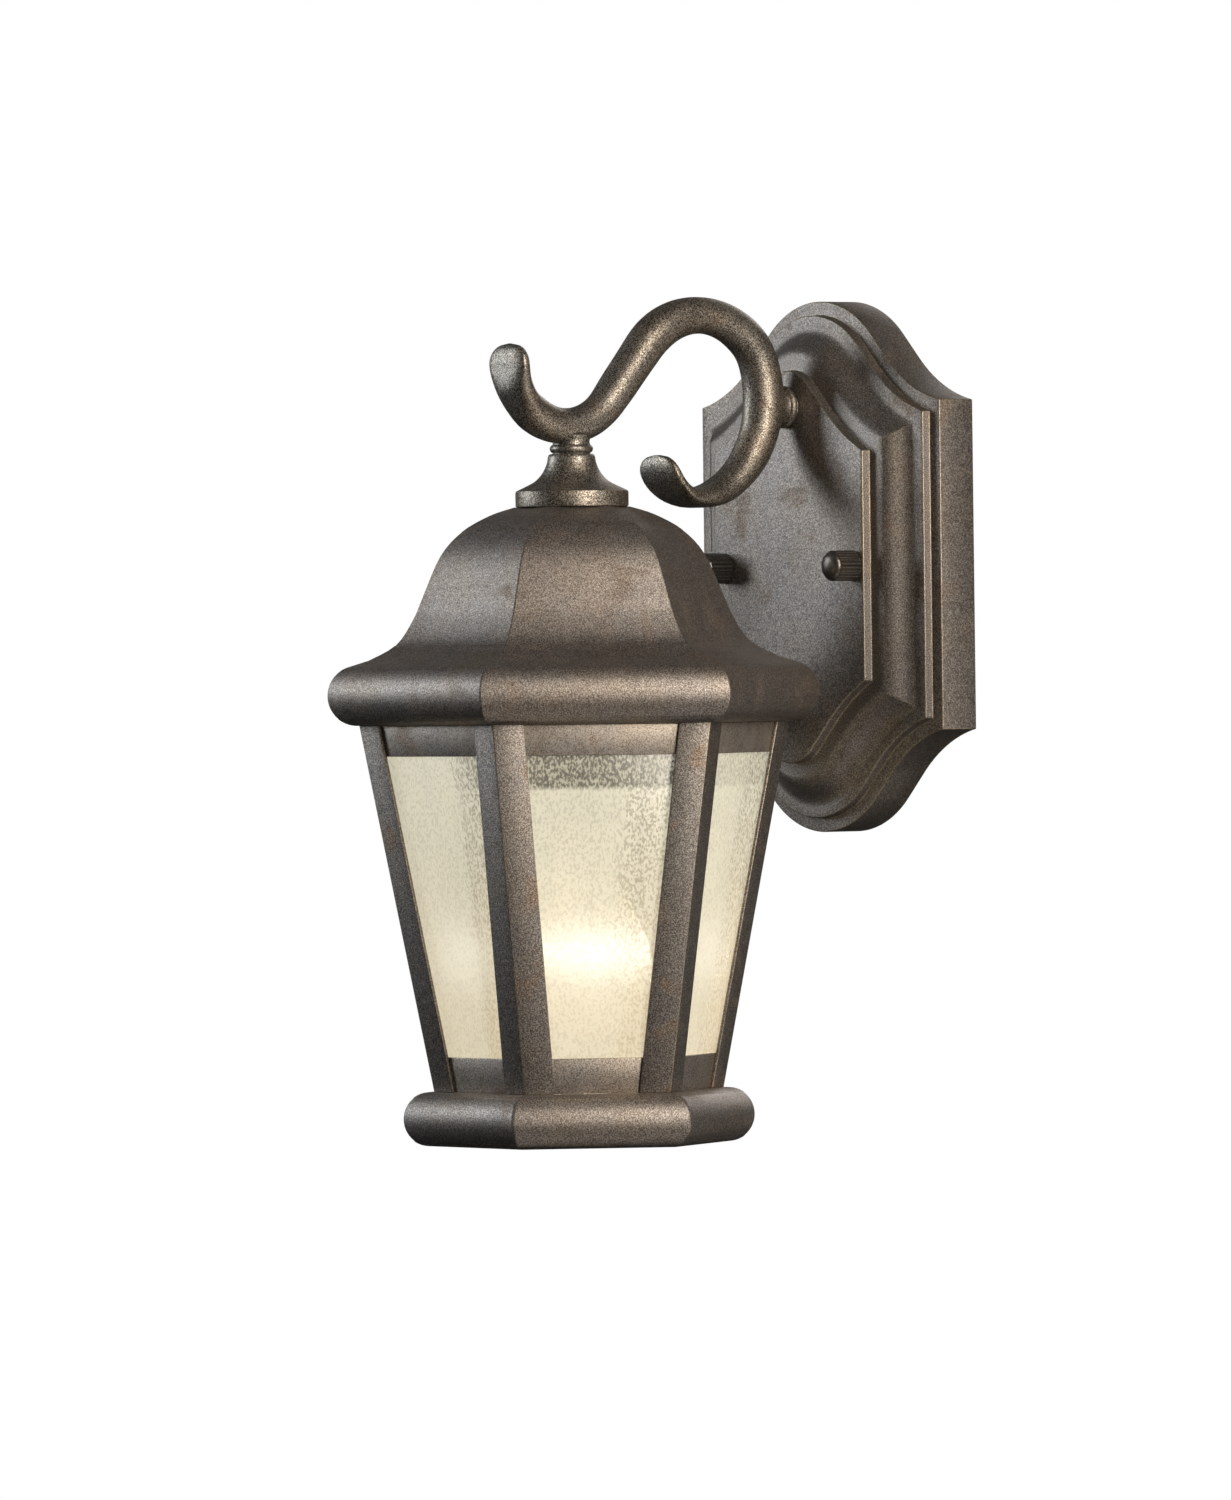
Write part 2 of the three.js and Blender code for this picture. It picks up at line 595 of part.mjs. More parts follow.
// A flat strip lying in the cage's front face, between two heights and two depths behind the outside.
function faceStrip(lowZ, highZ, sideGap, near, far) {
  const upFace = (z) => (z - CAGE_BOTTOM_Z) / Math.cos(FACE_TILT);
  const halfWidth = (z) => (CAGE_BOTTOM_R + (z - CAGE_BOTTOM_Z) * LEAN) / 2 - sideGap;
  const outline = new THREE.Shape([
    new THREE.Vector2(-halfWidth(lowZ), upFace(lowZ)),
    new THREE.Vector2(halfWidth(lowZ), upFace(lowZ)),
    new THREE.Vector2(halfWidth(highZ), upFace(highZ)),
    new THREE.Vector2(-halfWidth(highZ), upFace(highZ)),
  ]);
  const geometry = new THREE.ExtrudeGeometry(outline, { depth: far - near, bevelEnabled: false });
  geometry.translate(0, 0, -far).rotateX(Math.PI / 2 + FACE_TILT);
  return geometry.translate(0, -CAGE_BOTTOM_R * FLAT, CAGE_BOTTOM_Z);
}

const RAIL_BACK = POST_SHEET + RAIL_SHEET;
const GLASS_FRONT = RAIL_BACK + FIT;
for (let i = 0; i < SIDES; i++) {
  const face = new THREE.Group();
  face.rotation.z = 2 * Math.PI * i / SIDES;
  onAxis.add(face);
  const n = i + 1;
  addPiece(`post_${n}`, makePost().rotateZ(-Math.PI / 2 + HEX_START), metal(BRONZE, 0.55), face);
  const railFront = POST_SHEET + 0.05;
  const topRail = faceStrip(RAIL_TOP_Z - RAIL_HEIGHT, RAIL_TOP_Z, 3.5, railFront, RAIL_BACK);
  addPiece(`top_rail_${n}`, topRail, metal(BRONZE, 0.55), face);
  const bottomRail = faceStrip(RAIL_BOTTOM_Z, RAIL_BOTTOM_Z + RAIL_HEIGHT, 3.5, railFront, RAIL_BACK);
  addPiece(`bottom_rail_${n}`, bottomRail, metal(BRONZE, 0.55), face);
  const pane = faceStrip(CAGE_BOTTOM_Z + 0.8, RAIL_TOP_Z - 6.5, 4.6, GLASS_FRONT, GLASS_FRONT + GLASS);
  addPiece(`pane_${n}`, pane, glassFinish(), face);
}

// ---------------------------------------------------------------- base ring

function makeBaseRing() {
  const top = CAGE_BOTTOM_Z - 0.05;
  const half = (top - BASE_BOTTOM_Z) / 2;
  const centreR = BASE_R - half;
  const roll = arcPoints(centreR, top - half, half, 84, -84, 12);
  const inner = arcPoints(centreR, top - half, half - BASE_WALL, 84, -84, 6).reverse();
  return hexRing([
    [47.5, top],
    ...roll,
    [57, BASE_BOTTOM_Z],
    [57, BASE_BOTTOM_Z + BASE_WALL],
    ...inner,
    [47.5, top - BASE_WALL],
  ]);
}
addPiece('base_ring', makeBaseRing(), metal(BRONZE, 0.5), onAxis);

// ---------------------------------------------------------------- strap that hangs the cage, and its nut

// The strap reaches the front and back top rails and turns down behind them.
const STRAP_THICK = 1.5;
const STRAP_HALF_WIDTH = 8;
const STRAP_FOOT_Z = RAIL_TOP_Z - 5.6;
function makeStrap() {
  const clearOfRail = (RAIL_BACK + 0.1) / Math.cos(FACE_TILT);
  const railBackAt = (z) => (CAGE_BOTTOM_R + (z - CAGE_BOTTOM_Z) * LEAN) * FLAT - clearOfRail;
  const shoulder = railBackAt(STRAP_FOOT_Z) - 4;
  const foot = railBackAt(STRAP_FOOT_Z);
  const knee = railBackAt(RAIL_TOP_Z);
  const half = [
    [shoulder, STRAP_Z],
    [knee, RAIL_TOP_Z],
    [foot, STRAP_FOOT_Z],
    [foot - STRAP_THICK, STRAP_FOOT_Z],
    [knee - STRAP_THICK, RAIL_TOP_Z],
    [shoulder - STRAP_THICK, STRAP_Z - STRAP_THICK],
  ];
  const outline = new THREE.Shape([...half, ...half.map(([y, z]) => [-y, z]).reverse()]
    .map(([y, z]) => new THREE.Vector2(y, z)));
  const geometry = new THREE.ExtrudeGeometry(outline, { depth: 2 * STRAP_HALF_WIDTH, bevelEnabled: false });
  geometry.rotateX(Math.PI / 2).rotateZ(Math.PI / 2).translate(-STRAP_HALF_WIDTH, 0, 0);
  return cut(geometry, bar(NIPPLE_R + FIT, STRAP_Z - 5, STRAP_Z + 5, 20));
}
addPiece('cage_strap', makeStrap(), metal(ZINC, 0.5), onAxis);
addPiece('strap_washer', pipe(9, NIPPLE_R + FIT, STRAP_Z - 2.5, STRAP_Z - 1.5), metal(ZINC, 0.4), onAxis);
addPiece('neck_lock_nut', hexNut(14, NIPPLE_R + 0.1, STRAP_Z - 5.5, STRAP_Z - 2.5), metal(ZINC, 0.4), onAxis);

// ---------------------------------------------------------------- lampholder

const HOLDER_R = 19;
const HOLDER_SPLIT_Z = HOLDER_TOP_Z - 12;
const SHELL_R = LAMP_CAP_R + 1.1;
addPiece('socket_cap', turnedRing([
  [NIPPLE_R + 0.1, HOLDER_TOP_Z],
  [8, HOLDER_TOP_Z],
  [9, HOLDER_TOP_Z - 3],
  [HOLDER_R - 3, HOLDER_TOP_Z - 6],
  [HOLDER_R, HOLDER_SPLIT_Z + 3],
  [HOLDER_R, HOLDER_SPLIT_Z],
  [HOLDER_R - 2, HOLDER_SPLIT_Z],
  [HOLDER_R - 2, HOLDER_SPLIT_Z + 2.5],
  [HOLDER_R - 4.5, HOLDER_TOP_Z - 8],
  [NIPPLE_R + 0.1, HOLDER_TOP_Z - 8],
], 28), metal(0x2b2826, 0.5), onAxis);

const HOLDER_FLOOR_Z = LAMP_CONTACT_Z + 6;
const HOLDER_MOUTH_Z = LAMP_CONTACT_Z - 23;
addPiece('socket_body', turned([
  [0, HOLDER_FLOOR_Z + 3],
  [HOLDER_R - 2.5, HOLDER_FLOOR_Z + 3],
  [HOLDER_R - 2.5, HOLDER_SPLIT_Z - FIT],
  [HOLDER_R, HOLDER_SPLIT_Z - FIT],
  [HOLDER_R - 0.6, HOLDER_MOUTH_Z + 8],
  [HOLDER_R - 1.6, HOLDER_MOUTH_Z],
  [SHELL_R + FIT, HOLDER_MOUTH_Z],
  [SHELL_R + FIT, HOLDER_FLOOR_Z],
  [0, HOLDER_FLOOR_Z],
], 28), new THREE.MeshStandardMaterial({ color: 0x26221f, roughness: 0.45, metalness: 0 }), onAxis);

addPiece('socket_shell', turnedRing([
  [SHELL_R - 0.5, HOLDER_MOUTH_Z + 1],
  [SHELL_R, HOLDER_MOUTH_Z + 1],
  [SHELL_R, HOLDER_FLOOR_Z - 0.2],
  [9, HOLDER_FLOOR_Z - 0.2],
  [9, HOLDER_FLOOR_Z - 0.8],
  [SHELL_R - 0.5, HOLDER_FLOOR_Z - 0.8],
], 28), metal(BRASS, 0.35), onAxis);

const contactSpring = new THREE.Shape([
  new THREE.Vector2(-5, HOLDER_FLOOR_Z - 0.1),
  new THREE.Vector2(-5, HOLDER_FLOOR_Z - 0.8),
  new THREE.Vector2(0, LAMP_CONTACT_Z + 0.4),
  new THREE.Vector2(5, LAMP_CONTACT_Z + 0.4),
  new THREE.Vector2(5, LAMP_CONTACT_Z + 1.1),
  new THREE.Vector2(0.4, LAMP_CONTACT_Z + 1.1),
]);
const contactGeometry = new THREE.ExtrudeGeometry(contactSpring, { depth: 5, bevelEnabled: false });
addPiece('socket_contact', contactGeometry.rotateX(Math.PI / 2).translate(0, 2.5, 0), metal(BRASS, 0.3), onAxis);

// ---------------------------------------------------------------- lamp, cap upward

const CAP_FOOT_Z = LAMP_CONTACT_Z - 24;
const GLOBE_Z = LAMP_CONTACT_Z - LAMP_LENGTH + LAMP_GLOBE_R;
const LAMP_GLASS = 0.7;
function lampProfile(inset) {
  const globe = arcPoints(0, GLOBE_Z, LAMP_GLOBE_R - inset, -90, 20, 9);
  const neck = new THREE.CubicBezierCurve(
    new THREE.Vector2(...globe.at(-1)),
    new THREE.Vector2(LAMP_GLOBE_R - 7 - inset, GLOBE_Z + 28),
    new THREE.Vector2(LAMP_CAP_R - inset, CAP_FOOT_Z - 16),
    new THREE.Vector2(LAMP_CAP_R - 0.6 - inset, CAP_FOOT_Z),
  ).getPoints(5).slice(1).map((p) => [p.x, p.y]);
  return [...globe, ...neck];
}
addPiece('bulb_glass', turned([...lampProfile(0), ...lampProfile(LAMP_GLASS).reverse()], 22), glassFinish(), onAxis);

const threadRidges = Array.from({ length: 5 }, (_, i) => [
  [LAMP_CAP_R - 0.7, CAP_FOOT_Z + 2.4 + i * 3.6],
  [LAMP_CAP_R, CAP_FOOT_Z + 4.2 + i * 3.6],
]).flat();
addPiece('bulb_cap', turnedRing([
  [LAMP_CAP_R - 0.3, CAP_FOOT_Z + 0.2],
  ...threadRidges,
  [LAMP_CAP_R - 1.5, LAMP_CONTACT_Z - 3.6],
  [6, LAMP_CONTACT_Z - 1],
  [6, LAMP_CONTACT_Z - 1.8],
  [LAMP_CAP_R - 2.4, LAMP_CONTACT_Z - 4.4],
  [LAMP_CAP_R - 2.4, CAP_FOOT_Z + 0.2],
], 28), metal(ZINC, 0.3), onAxis);
addPiece('bulb_contact', turned([
  [0, LAMP_CONTACT_Z],
  [3.4, LAMP_CONTACT_Z - 0.3],
  [5.7, LAMP_CONTACT_Z - 1.1],
  [5.7, LAMP_CONTACT_Z - 2],
  [0, LAMP_CONTACT_Z - 2],
], 20), metal(ZINC, 0.3), onAxis);
const STEM_END_Z = CAP_FOOT_Z - 34;
addPiece('bulb_stem', turned([
  [0, LAMP_CONTACT_Z - 8],
  [7, LAMP_CONTACT_Z - 8],
  [7, CAP_FOOT_Z + 2],
  [3, CAP_FOOT_Z - 12],
  [1.6, STEM_END_Z],
  [0, STEM_END_Z],
], 14), glassFinish(), onAxis);
const coil = new THREE.QuadraticBezierCurve3(
  new THREE.Vector3(-14, 0, GLOBE_Z + 4),
  new THREE.Vector3(0, 0, GLOBE_Z + 14),
  new THREE.Vector3(14, 0, GLOBE_Z + 4),
);
addPiece('bulb_filament', tube(coil, 0.8, 10, 6), metal(0xfff2c4, 0.6), onAxis);

// ---------------------------------------------------------------- wires

const WIRE_R = 1.1;
const wireTail = [[-PANEL_DEPTH + 13, BOSS_Z - 2], [-PANEL_DEPTH + 17, BOSS_Z - 10], [-PANEL_DEPTH + 16, BOSS_Z - 19]];
for (const [name, x, color] of [['wire_black', -1.4, 0x1c1c1c], ['wire_white', 1.4, 0xe8e6df]]) {
  const way = wireWay(x, NECK_NIPPLE_TOP - HOLDER_TOP_Z + 11, 15, wireTail);
  const insulation = new THREE.MeshStandardMaterial({ color, roughness: 0.5, metalness: 0 });
  addPiece(name, tube(way, WIRE_R, 54, 6), insulation);
}
const groundWay = new THREE.CatmullRomCurve3([
  new THREE.Vector3(GROUND_X, -BAR_THICK - 0.75, 5.6),
  new THREE.Vector3(GROUND_X + 1, -8, 16),
  new THREE.Vector3(GROUND_X, -18, 30),
  new THREE.Vector3(14, -24, 46),
  new THREE.Vector3(10.5, -26, BOSS_Z - 3),
]);
addPiece('ground_wire', tube(groundWay, 0.7, 22, 6), metal(0xb87333, 0.4));

export default lantern;
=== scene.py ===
# %% [markdown]
# # An outdoor wall lantern
# The real object is a six-sided glazed cage under a bell-shaped cast roof. It hangs from a scroll arm,
# and the arm is screwed to a moulded plate on the wall. The metal that shows is painted dark bronze, with
# fine bright flecks in the paint. This script is a lesson in cells. It loads the exact engineering model
# as a fixed frame, sets up the camera and the lights, mixes the finishes (speckled bronze, seeded glass,
# zinc, brass and wire), and then gives each piece its true curves and soft edges.

import json
import math

import bpy
from mathutils import Matrix, Vector


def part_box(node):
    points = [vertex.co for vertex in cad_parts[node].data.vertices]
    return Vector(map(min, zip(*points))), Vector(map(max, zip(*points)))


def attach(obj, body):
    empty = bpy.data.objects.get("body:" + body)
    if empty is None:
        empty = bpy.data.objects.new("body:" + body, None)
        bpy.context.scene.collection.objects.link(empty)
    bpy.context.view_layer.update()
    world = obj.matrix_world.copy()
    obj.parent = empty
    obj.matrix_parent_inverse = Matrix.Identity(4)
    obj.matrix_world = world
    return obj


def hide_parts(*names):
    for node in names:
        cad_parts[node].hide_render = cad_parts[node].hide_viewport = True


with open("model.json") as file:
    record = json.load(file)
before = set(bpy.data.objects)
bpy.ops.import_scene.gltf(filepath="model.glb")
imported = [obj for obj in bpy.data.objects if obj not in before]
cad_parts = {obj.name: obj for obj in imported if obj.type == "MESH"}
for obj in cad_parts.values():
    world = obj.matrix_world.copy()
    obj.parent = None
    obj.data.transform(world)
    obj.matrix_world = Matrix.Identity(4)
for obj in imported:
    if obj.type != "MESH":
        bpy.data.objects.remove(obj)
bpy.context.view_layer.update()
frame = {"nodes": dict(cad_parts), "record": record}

# %% [markdown]
# ## Where things are
# Blender works in metres, and drawings of small goods are read in millimetres, so one constant turns one
# into the other. The lantern hangs on an upright axis in front of the wall. Its place is read from the
# frame and never typed in, because a number that is typed twice is sooner or later two numbers. CENTRE is
# near the middle of the whole fixture, and the lights look at it.

# %% Places and owners
MM = 0.001
bell_low, bell_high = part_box("neck_bell")
AXIS = Vector(((bell_low.x + bell_high.x) / 2, (bell_low.y + bell_high.y) / 2, 0))
CENTRE = Vector((0, -0.098, -0.06))

body_of = {}
for body_name, members in frame["record"]["behaviour"]["bodies"].items():
    for member in members:
        body_of[member] = body_name
print(f"the lantern's axis stands {-AXIS.y / MM:.1f} mm from the wall")

# %% [markdown]
# ## The camera
# A long lens from almost five metres keeps upright lines upright, as in a catalogue picture. The camera
# stands to the right of the lantern's front, level with it. Its turn is built from three directions at
# right angles: where its right side, its top and its back point. A small roll comes last.

# %% The camera
CAMERA_TURN = math.radians(51.689)
CAMERA_RISE = math.radians(0.416)
CAMERA_ROLL = math.radians(-0.701)
CAMERA_DISTANCE = 4.942178
CAMERA_LENS = 290.58
AIM_SIDEWAYS = -0.098515
AIM_HEIGHT = -0.074821

back = Vector((math.sin(CAMERA_TURN) * math.cos(CAMERA_RISE),
               -math.cos(CAMERA_TURN) * math.cos(CAMERA_RISE),
               math.sin(CAMERA_RISE)))
level = Vector((math.cos(CAMERA_TURN), math.sin(CAMERA_TURN), 0))
upward = back.cross(level)
right = level * math.cos(CAMERA_ROLL) + upward * math.sin(CAMERA_ROLL)
top = upward * math.cos(CAMERA_ROLL) - level * math.sin(CAMERA_ROLL)
aim = right * AIM_SIDEWAYS + Vector((0, 0, AIM_HEIGHT))

bpy.ops.object.camera_add()
camera = bpy.context.object
turned_to_aim = Matrix((right, top, back)).transposed().to_4x4()
camera.matrix_world = Matrix.Translation(aim + back * CAMERA_DISTANCE) @ turned_to_aim
camera.data.lens = CAMERA_LENS
camera.data.sensor_width = 36
bpy.context.scene.camera = camera
print("camera at", [round(c, 3) for c in camera.location])

# %% [markdown]
# ## Light
# Painted metal shows its shape by soft reflections, so the lights are large panels. A cool one stands on
# the left and a stronger, warm one on the right, both a little above the lantern. Two weak ones light the
# undersides, from the right and from below, and one stands behind the lantern, so that its back can be
# read. The picture's ground is plain white, so the world shows white to the camera and stays dim for
# everything else.

# %% Softboxes
PANEL_DISTANCE = 1.6


def softbox(name, turn, rise, wide, high, power, colour):
    """A light panel that looks at the lantern. Turn is 0 in front of the plate and grows to the right."""
    turn, rise = math.radians(turn), math.radians(rise)
    away = Vector((math.sin(turn) * math.cos(rise), -math.cos(turn) * math.cos(rise), math.sin(rise)))
    bpy.ops.object.light_add(type="AREA", location=CENTRE + away * PANEL_DISTANCE,
                             rotation=away.to_track_quat("Z", "Y").to_euler())
    lamp = bpy.context.object
    lamp.name = name
    lamp.data.shape = "RECTANGLE"
    lamp.data.size = wide
    lamp.data.size_y = high
    lamp.data.energy = power
    lamp.data.color = colour
    lamp.visible_camera = False
    return lamp


lights = [
    softbox("panel_left", -50, 16, 0.5, 0.8, 12, (0.86, 0.94, 1.0)),
    softbox("panel_right", 84, 16, 0.6, 1.4, 30.5, (1.0, 0.93, 0.82)),
    softbox("panel_low", 125, -30, 1.0, 1.0, 4.5, (1.0, 0.95, 0.86)),
    softbox("panel_below", 66, -74, 1.2, 1.2, 3.5, (1.0, 0.96, 0.90)),
    softbox("panel_back", 204, 20, 0.9, 0.9, 6, (1.0, 0.97, 0.93)),
]
print(len(lights), "panels")

# %% [markdown]
# ## What the metal reflects
# Bronze is a dull mirror, so the room matters as much as the lamps. The room is a dim grey, darker below
# than above. The camera itself sees plain white paper behind the lantern, and a Light Path node tells the
# two apart.

# %% The surround
world = bpy.data.worlds.new("studio")
bpy.context.scene.world = world
world.use_nodes = True
room_tree = world.node_tree


def room_node(kind, **inputs):
    node = room_tree.nodes.new(kind)
    for key, value in inputs.items():
        node.inputs[key.replace("_", " ")].default_value = value
    return node


room = room_tree.nodes["Background"]
paper = room_node("ShaderNodeBackground", Color=(1, 1, 1, 1))
direction = room_node("ShaderNodeTexCoord")
parts = room_node("ShaderNodeSeparateXYZ")
height = room_node("ShaderNodeMapRange", From_Min=-0.6, From_Max=0.4)
shade = room_node("ShaderNodeMix")
shade.data_type = "RGBA"
shade.inputs[6].default_value = (0.022, 0.023, 0.025, 1)
shade.inputs[7].default_value = (0.088, 0.088, 0.090, 1)
seen = room_node("ShaderNodeLightPath")
chooser = room_node("ShaderNodeMixShader")
for source, target in (
    (direction.outputs["Generated"], parts.inputs[0]), (parts.outputs["Z"], height.inputs["Value"]),
    (height.outputs[0], shade.inputs[0]), (shade.outputs[2], room.inputs["Color"]),
    (seen.outputs["Is Camera Ray"], chooser.inputs[0]), (room.outputs[0], chooser.inputs[1]),
    (paper.outputs[0], chooser.inputs[2]), (chooser.outputs[0], room_tree.nodes["World Output"].inputs[0]),
):
    room_tree.links.new(source, target)

bpy.context.scene.view_settings.view_transform = "Standard"
print("the room is dim, and the paper is white")

# %% [markdown]
# ## Sums with shader sockets
# A finish is mostly sums on patterns: more rust here, less shine there. In a node editor each sum is a
# box and some wires, which is slow to write and slow to read. The class below wraps one socket, and each
# operator it learns adds one Math node, so `1 - mask * 0.3` can be written as it is thought. Colours
# don't go through Math nodes, because those turn a colour grey; they go through `blend`. All other nodes
# come from one method, `make`.

# %% A socket that can be used in sums
class Wire:
    """One output socket of a material's nodes, for use in Python sums."""

    def __init__(self, socket):
        self.socket = socket

    @staticmethod
    def make(tree, kind, settings=None, inputs=None, output=0):
        """Adds a node of any kind. Settings come first, then the values or wires of its sockets."""
        node = tree.nodes.new(kind)
        for key, value in (settings or {}).items():
            setattr(node, key, value)
        for key, value in (inputs or {}).items():
            if isinstance(value, Wire):
                tree.links.new(value.socket, node.inputs[key])
            else:
                node.inputs[key].default_value = value
        return Wire(node.outputs[output])

    def sum(self, operation, first, second):
        tree = self.socket.id_data
        return Wire.make(tree, "ShaderNodeMath", {"operation": operation}, {0: first, 1: second})

    def __add__(self, other):
        return self.sum("ADD", self, other)

    def __mul__(self, other):
        return self.sum("MULTIPLY", self, other)

    def __sub__(self, other):
        return self.sum("SUBTRACT", self, other)

    def __rsub__(self, other):
        return self.sum("SUBTRACT", other, self)

    __radd__ = __add__
    __rmul__ = __mul__

    def above(self, level, softness):
        """0 below the level and 1 above it, with a soft step."""
        return Wire.make(self.socket.id_data, "ShaderNodeMapRange", {"interpolation_type": "SMOOTHSTEP"},
                         {"Value": self, "From Min": level - softness, "From Max": level + softness})

    def below(self, level, softness):
        return 1 - self.above(level, softness)


def blend(mask, under, over):
    """Lays the colour over on the colour under, where the mask is 1."""
    tree = mask.socket.id_data
    return Wire.make(tree, "ShaderNodeMix", {"data_type": "RGBA"}, {0: mask, 6: under, 7: over}, 2)


print("methods ready:", ", ".join(name for name in vars(Wire) if not name.startswith("_")))

# %% [markdown]
# ## Patterns in the object's own space
# A pattern has to sit still on the metal when the camera moves, so every pattern reads Object
# coordinates. All pieces keep their origin at the world's origin, so a pattern also runs on from one
# piece to the next, as spray paint does. Sizes are given in millimetres: the helper turns a size into the
# noise node's scale.

# %% Patterns
class Finish:
    """A material in the making: its node tree, its shader, and the patterns it can draw."""

    def __init__(self, name, **constants):
        self.material = bpy.data.materials.new(name)
        self.material.use_nodes = True
        self.tree = self.material.node_tree
        self.shader = self.tree.nodes["Principled BSDF"]
        for socket, value in constants.items():
            self.shader.inputs[socket.replace("_", " ")].default_value = value
        self.place = Wire.make(self.tree, "ShaderNodeTexCoord", output="Object")

    def make(self, kind, settings=None, inputs=None, output=0):
        return Wire.make(self.tree, kind, settings, inputs, output)

    def stretched(self, scale):
        return self.make("ShaderNodeMapping", None, {"Vector": self.place, "Scale": scale})

    def noise(self, size_mm, detail=2.0, rough=0.5, warp=0.0, place=None):
        return self.make("ShaderNodeTexNoise", None, {
            "Vector": place or self.place, "Scale": 1000 / size_mm, "Detail": detail, "Roughness": rough,
            "Distortion": warp})

    def cells(self, size_mm, output="Distance"):
        return self.make("ShaderNodeTexVoronoi", None, {
            "Vector": self.place, "Scale": 1000 / size_mm}, output)

    def function(self, operation, value):
        """A Math node of one input, such as a cosine."""
        return self.make("ShaderNodeMath", {"operation": operation}, {0: value})

    def axis(self, letter):
        return self.make("ShaderNodeSeparateXYZ", None, {0: self.place}, letter)

    def put(self, socket, wire):
        self.tree.links.new(wire.socket, self.shader.inputs[socket])

    def bump(self, height, strength, depth_mm):
        self.put("Normal", self.make("ShaderNodeBump", None, {
            "Height": height, "Strength": strength, "Distance": depth_mm * MM}))


print("a 10 mm pattern has noise scale", 1000 / 10)

# %% [markdown]
# ## Speckled bronze
# The real finish is a dark powder coat with flecks of mica in it, a little rusty in places. It is made in
# layers: a mottled ground between a cool and a warm brown, dark clouds, a few patches of rust, a grain of
# about half a millimetre, and bright flecks. Grain and clouds also drive the bump, because such a coat is
# never quite flat. Groups of pieces differ in tone: roof and base, plate, posts, bottom rails, top
# rails, arm and neck, and nuts. Posts and rails share one paint, made darker on the posts as painted
# shade, and lighter on the bottom rails and lightest on the top rails as painted light. Worn bronze is
# only for the rounded edges of plate, posts and rails, where hands and weather rub the coat thin. Their
# bevel marks the faces that it adds, and those faces get it as a second material.

# %% The bronze finishes
def bronze_finish(name, cool, warm, rust=0.4, grit=1.0, gloss=0.0, clouds=0.22):
    """Cool and warm are the two shades of the ground, from 0 to 1 in red, green and blue."""
    finish = Finish(name, Metallic=0.9)
    mottle = finish.noise(34, detail=4, rough=0.6)
    cloud = finish.noise(7, detail=3, rough=0.6)
    grain = finish.noise(0.55, detail=2, rough=0.75)
    fleck = finish.noise(0.42, detail=0)
    patches = finish.noise(19, detail=4, rough=0.6, warp=0.4).above(0.62, 0.07)

    ground = blend(mottle.above(0.5, 0.14), (*cool, 1), (*warm, 1))
    clouded = blend(cloud.below(0.5, 0.2) * clouds, ground, (0.06, 0.052, 0.045, 1))
    rusted = blend(patches * rust * (0.4 + cloud), clouded, (0.24, 0.125, 0.055, 1))
    darker = blend(grain.below(0.45, 0.1) * (0.42 * grit), rusted, (0.03, 0.027, 0.025, 1))
    lighter = blend(grain.above(0.56, 0.1) * (0.34 * grit), darker, (0.56, 0.51, 0.455, 1))
    flecked = blend(fleck.above(0.76, 0.05) * (0.35 * grit), lighter, (0.80, 0.72, 0.61, 1))
    finish.put("Base Color", flecked)
    finish.put("Roughness", (0.45 - gloss) + 0.1 * grain + 0.05 * cloud + 0.1 * patches)
    finish.bump(grain + cloud * 0.6, 0.25, 0.05)
    return finish.material


cast_bronze = bronze_finish(
    "cast_bronze", (0.222, 0.194, 0.181), (0.234, 0.190, 0.159), rust=0.25, grit=1.4)
plate_bronze = bronze_finish(
    "plate_bronze", (0.182, 0.160, 0.151), (0.190, 0.156, 0.132), rust=0.25, grit=1.2)
# Painted light and shade: posts and rails are one paint, darker on the posts and lighter on the rails,
# lightest on the top rails.
post_painted_shade_bronze = bronze_finish(
    "post_painted_shade_bronze", (0.172, 0.154, 0.146), (0.186, 0.157, 0.138), rust=0.5, grit=1.4)
bottom_rail_painted_light_bronze = bronze_finish(
    "bottom_rail_painted_light_bronze", (0.355, 0.312, 0.285), (0.372, 0.312, 0.258), rust=0.55, grit=1.5)
top_rail_painted_light_bronze = bronze_finish(
    "top_rail_painted_light_bronze", (0.500, 0.440, 0.395), (0.520, 0.436, 0.360), rust=0.5, grit=1.5)
arm_bronze = bronze_finish(
    "arm_bronze", (0.222, 0.194, 0.163), (0.235, 0.184, 0.130), rust=0.5, grit=2.2, gloss=0.06, clouds=0.6)
nut_bronze = bronze_finish(
    "nut_bronze", (0.102, 0.098, 0.096), (0.110, 0.099, 0.088), rust=0.1, grit=0.4, gloss=0.2, clouds=0.1)
worn_bronze = bronze_finish(
    "worn_bronze", (0.26, 0.222, 0.18), (0.33, 0.262, 0.19), rust=0.2, grit=1.4, gloss=0.05)
print("shades of bronze:", sum("bronze" in material.name for material in bpy.data.materials))

# %% [markdown]
# ## Seeded glass
# The panes are rolled glass full of small bubbles, called seeds, with faint upright ripples and a
# champagne tint. Real refraction through so many bubbles needs a very long render, so the pane is made as
# a thin film instead: a pale painted glow, partly see-through, and a little more or less so at each seed.
# The glow is painted light in place of the lamp's light that the glass spreads. It is warmer and a little
# brighter lower down, and stronger at the filament's height. Some seeds carry painted bright glints.
# Under the roof, on the right and mainly on the side away from the wall, painted shade takes the place of
# the glow as a dark band. The foot of each pane sits in dark putty.

# %% The glass finishes
filament_low, filament_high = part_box("bulb_filament")
FILAMENT_Z = (filament_low.z + filament_high.z) / 2
pane_low, pane_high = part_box("pane_1")
RAIL_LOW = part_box("top_rail_1")[0].z
FOOT_OF_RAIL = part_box("bottom_rail_1")[0].z
SEED_BAND_TURN = math.radians(289)
PAINTED_SHADE_BAND = 13 * MM
HALO_HIGH = 14 * MM
GLOW_HIGH = 9 * MM
PUTTY_HIGH = 0.6 * MM


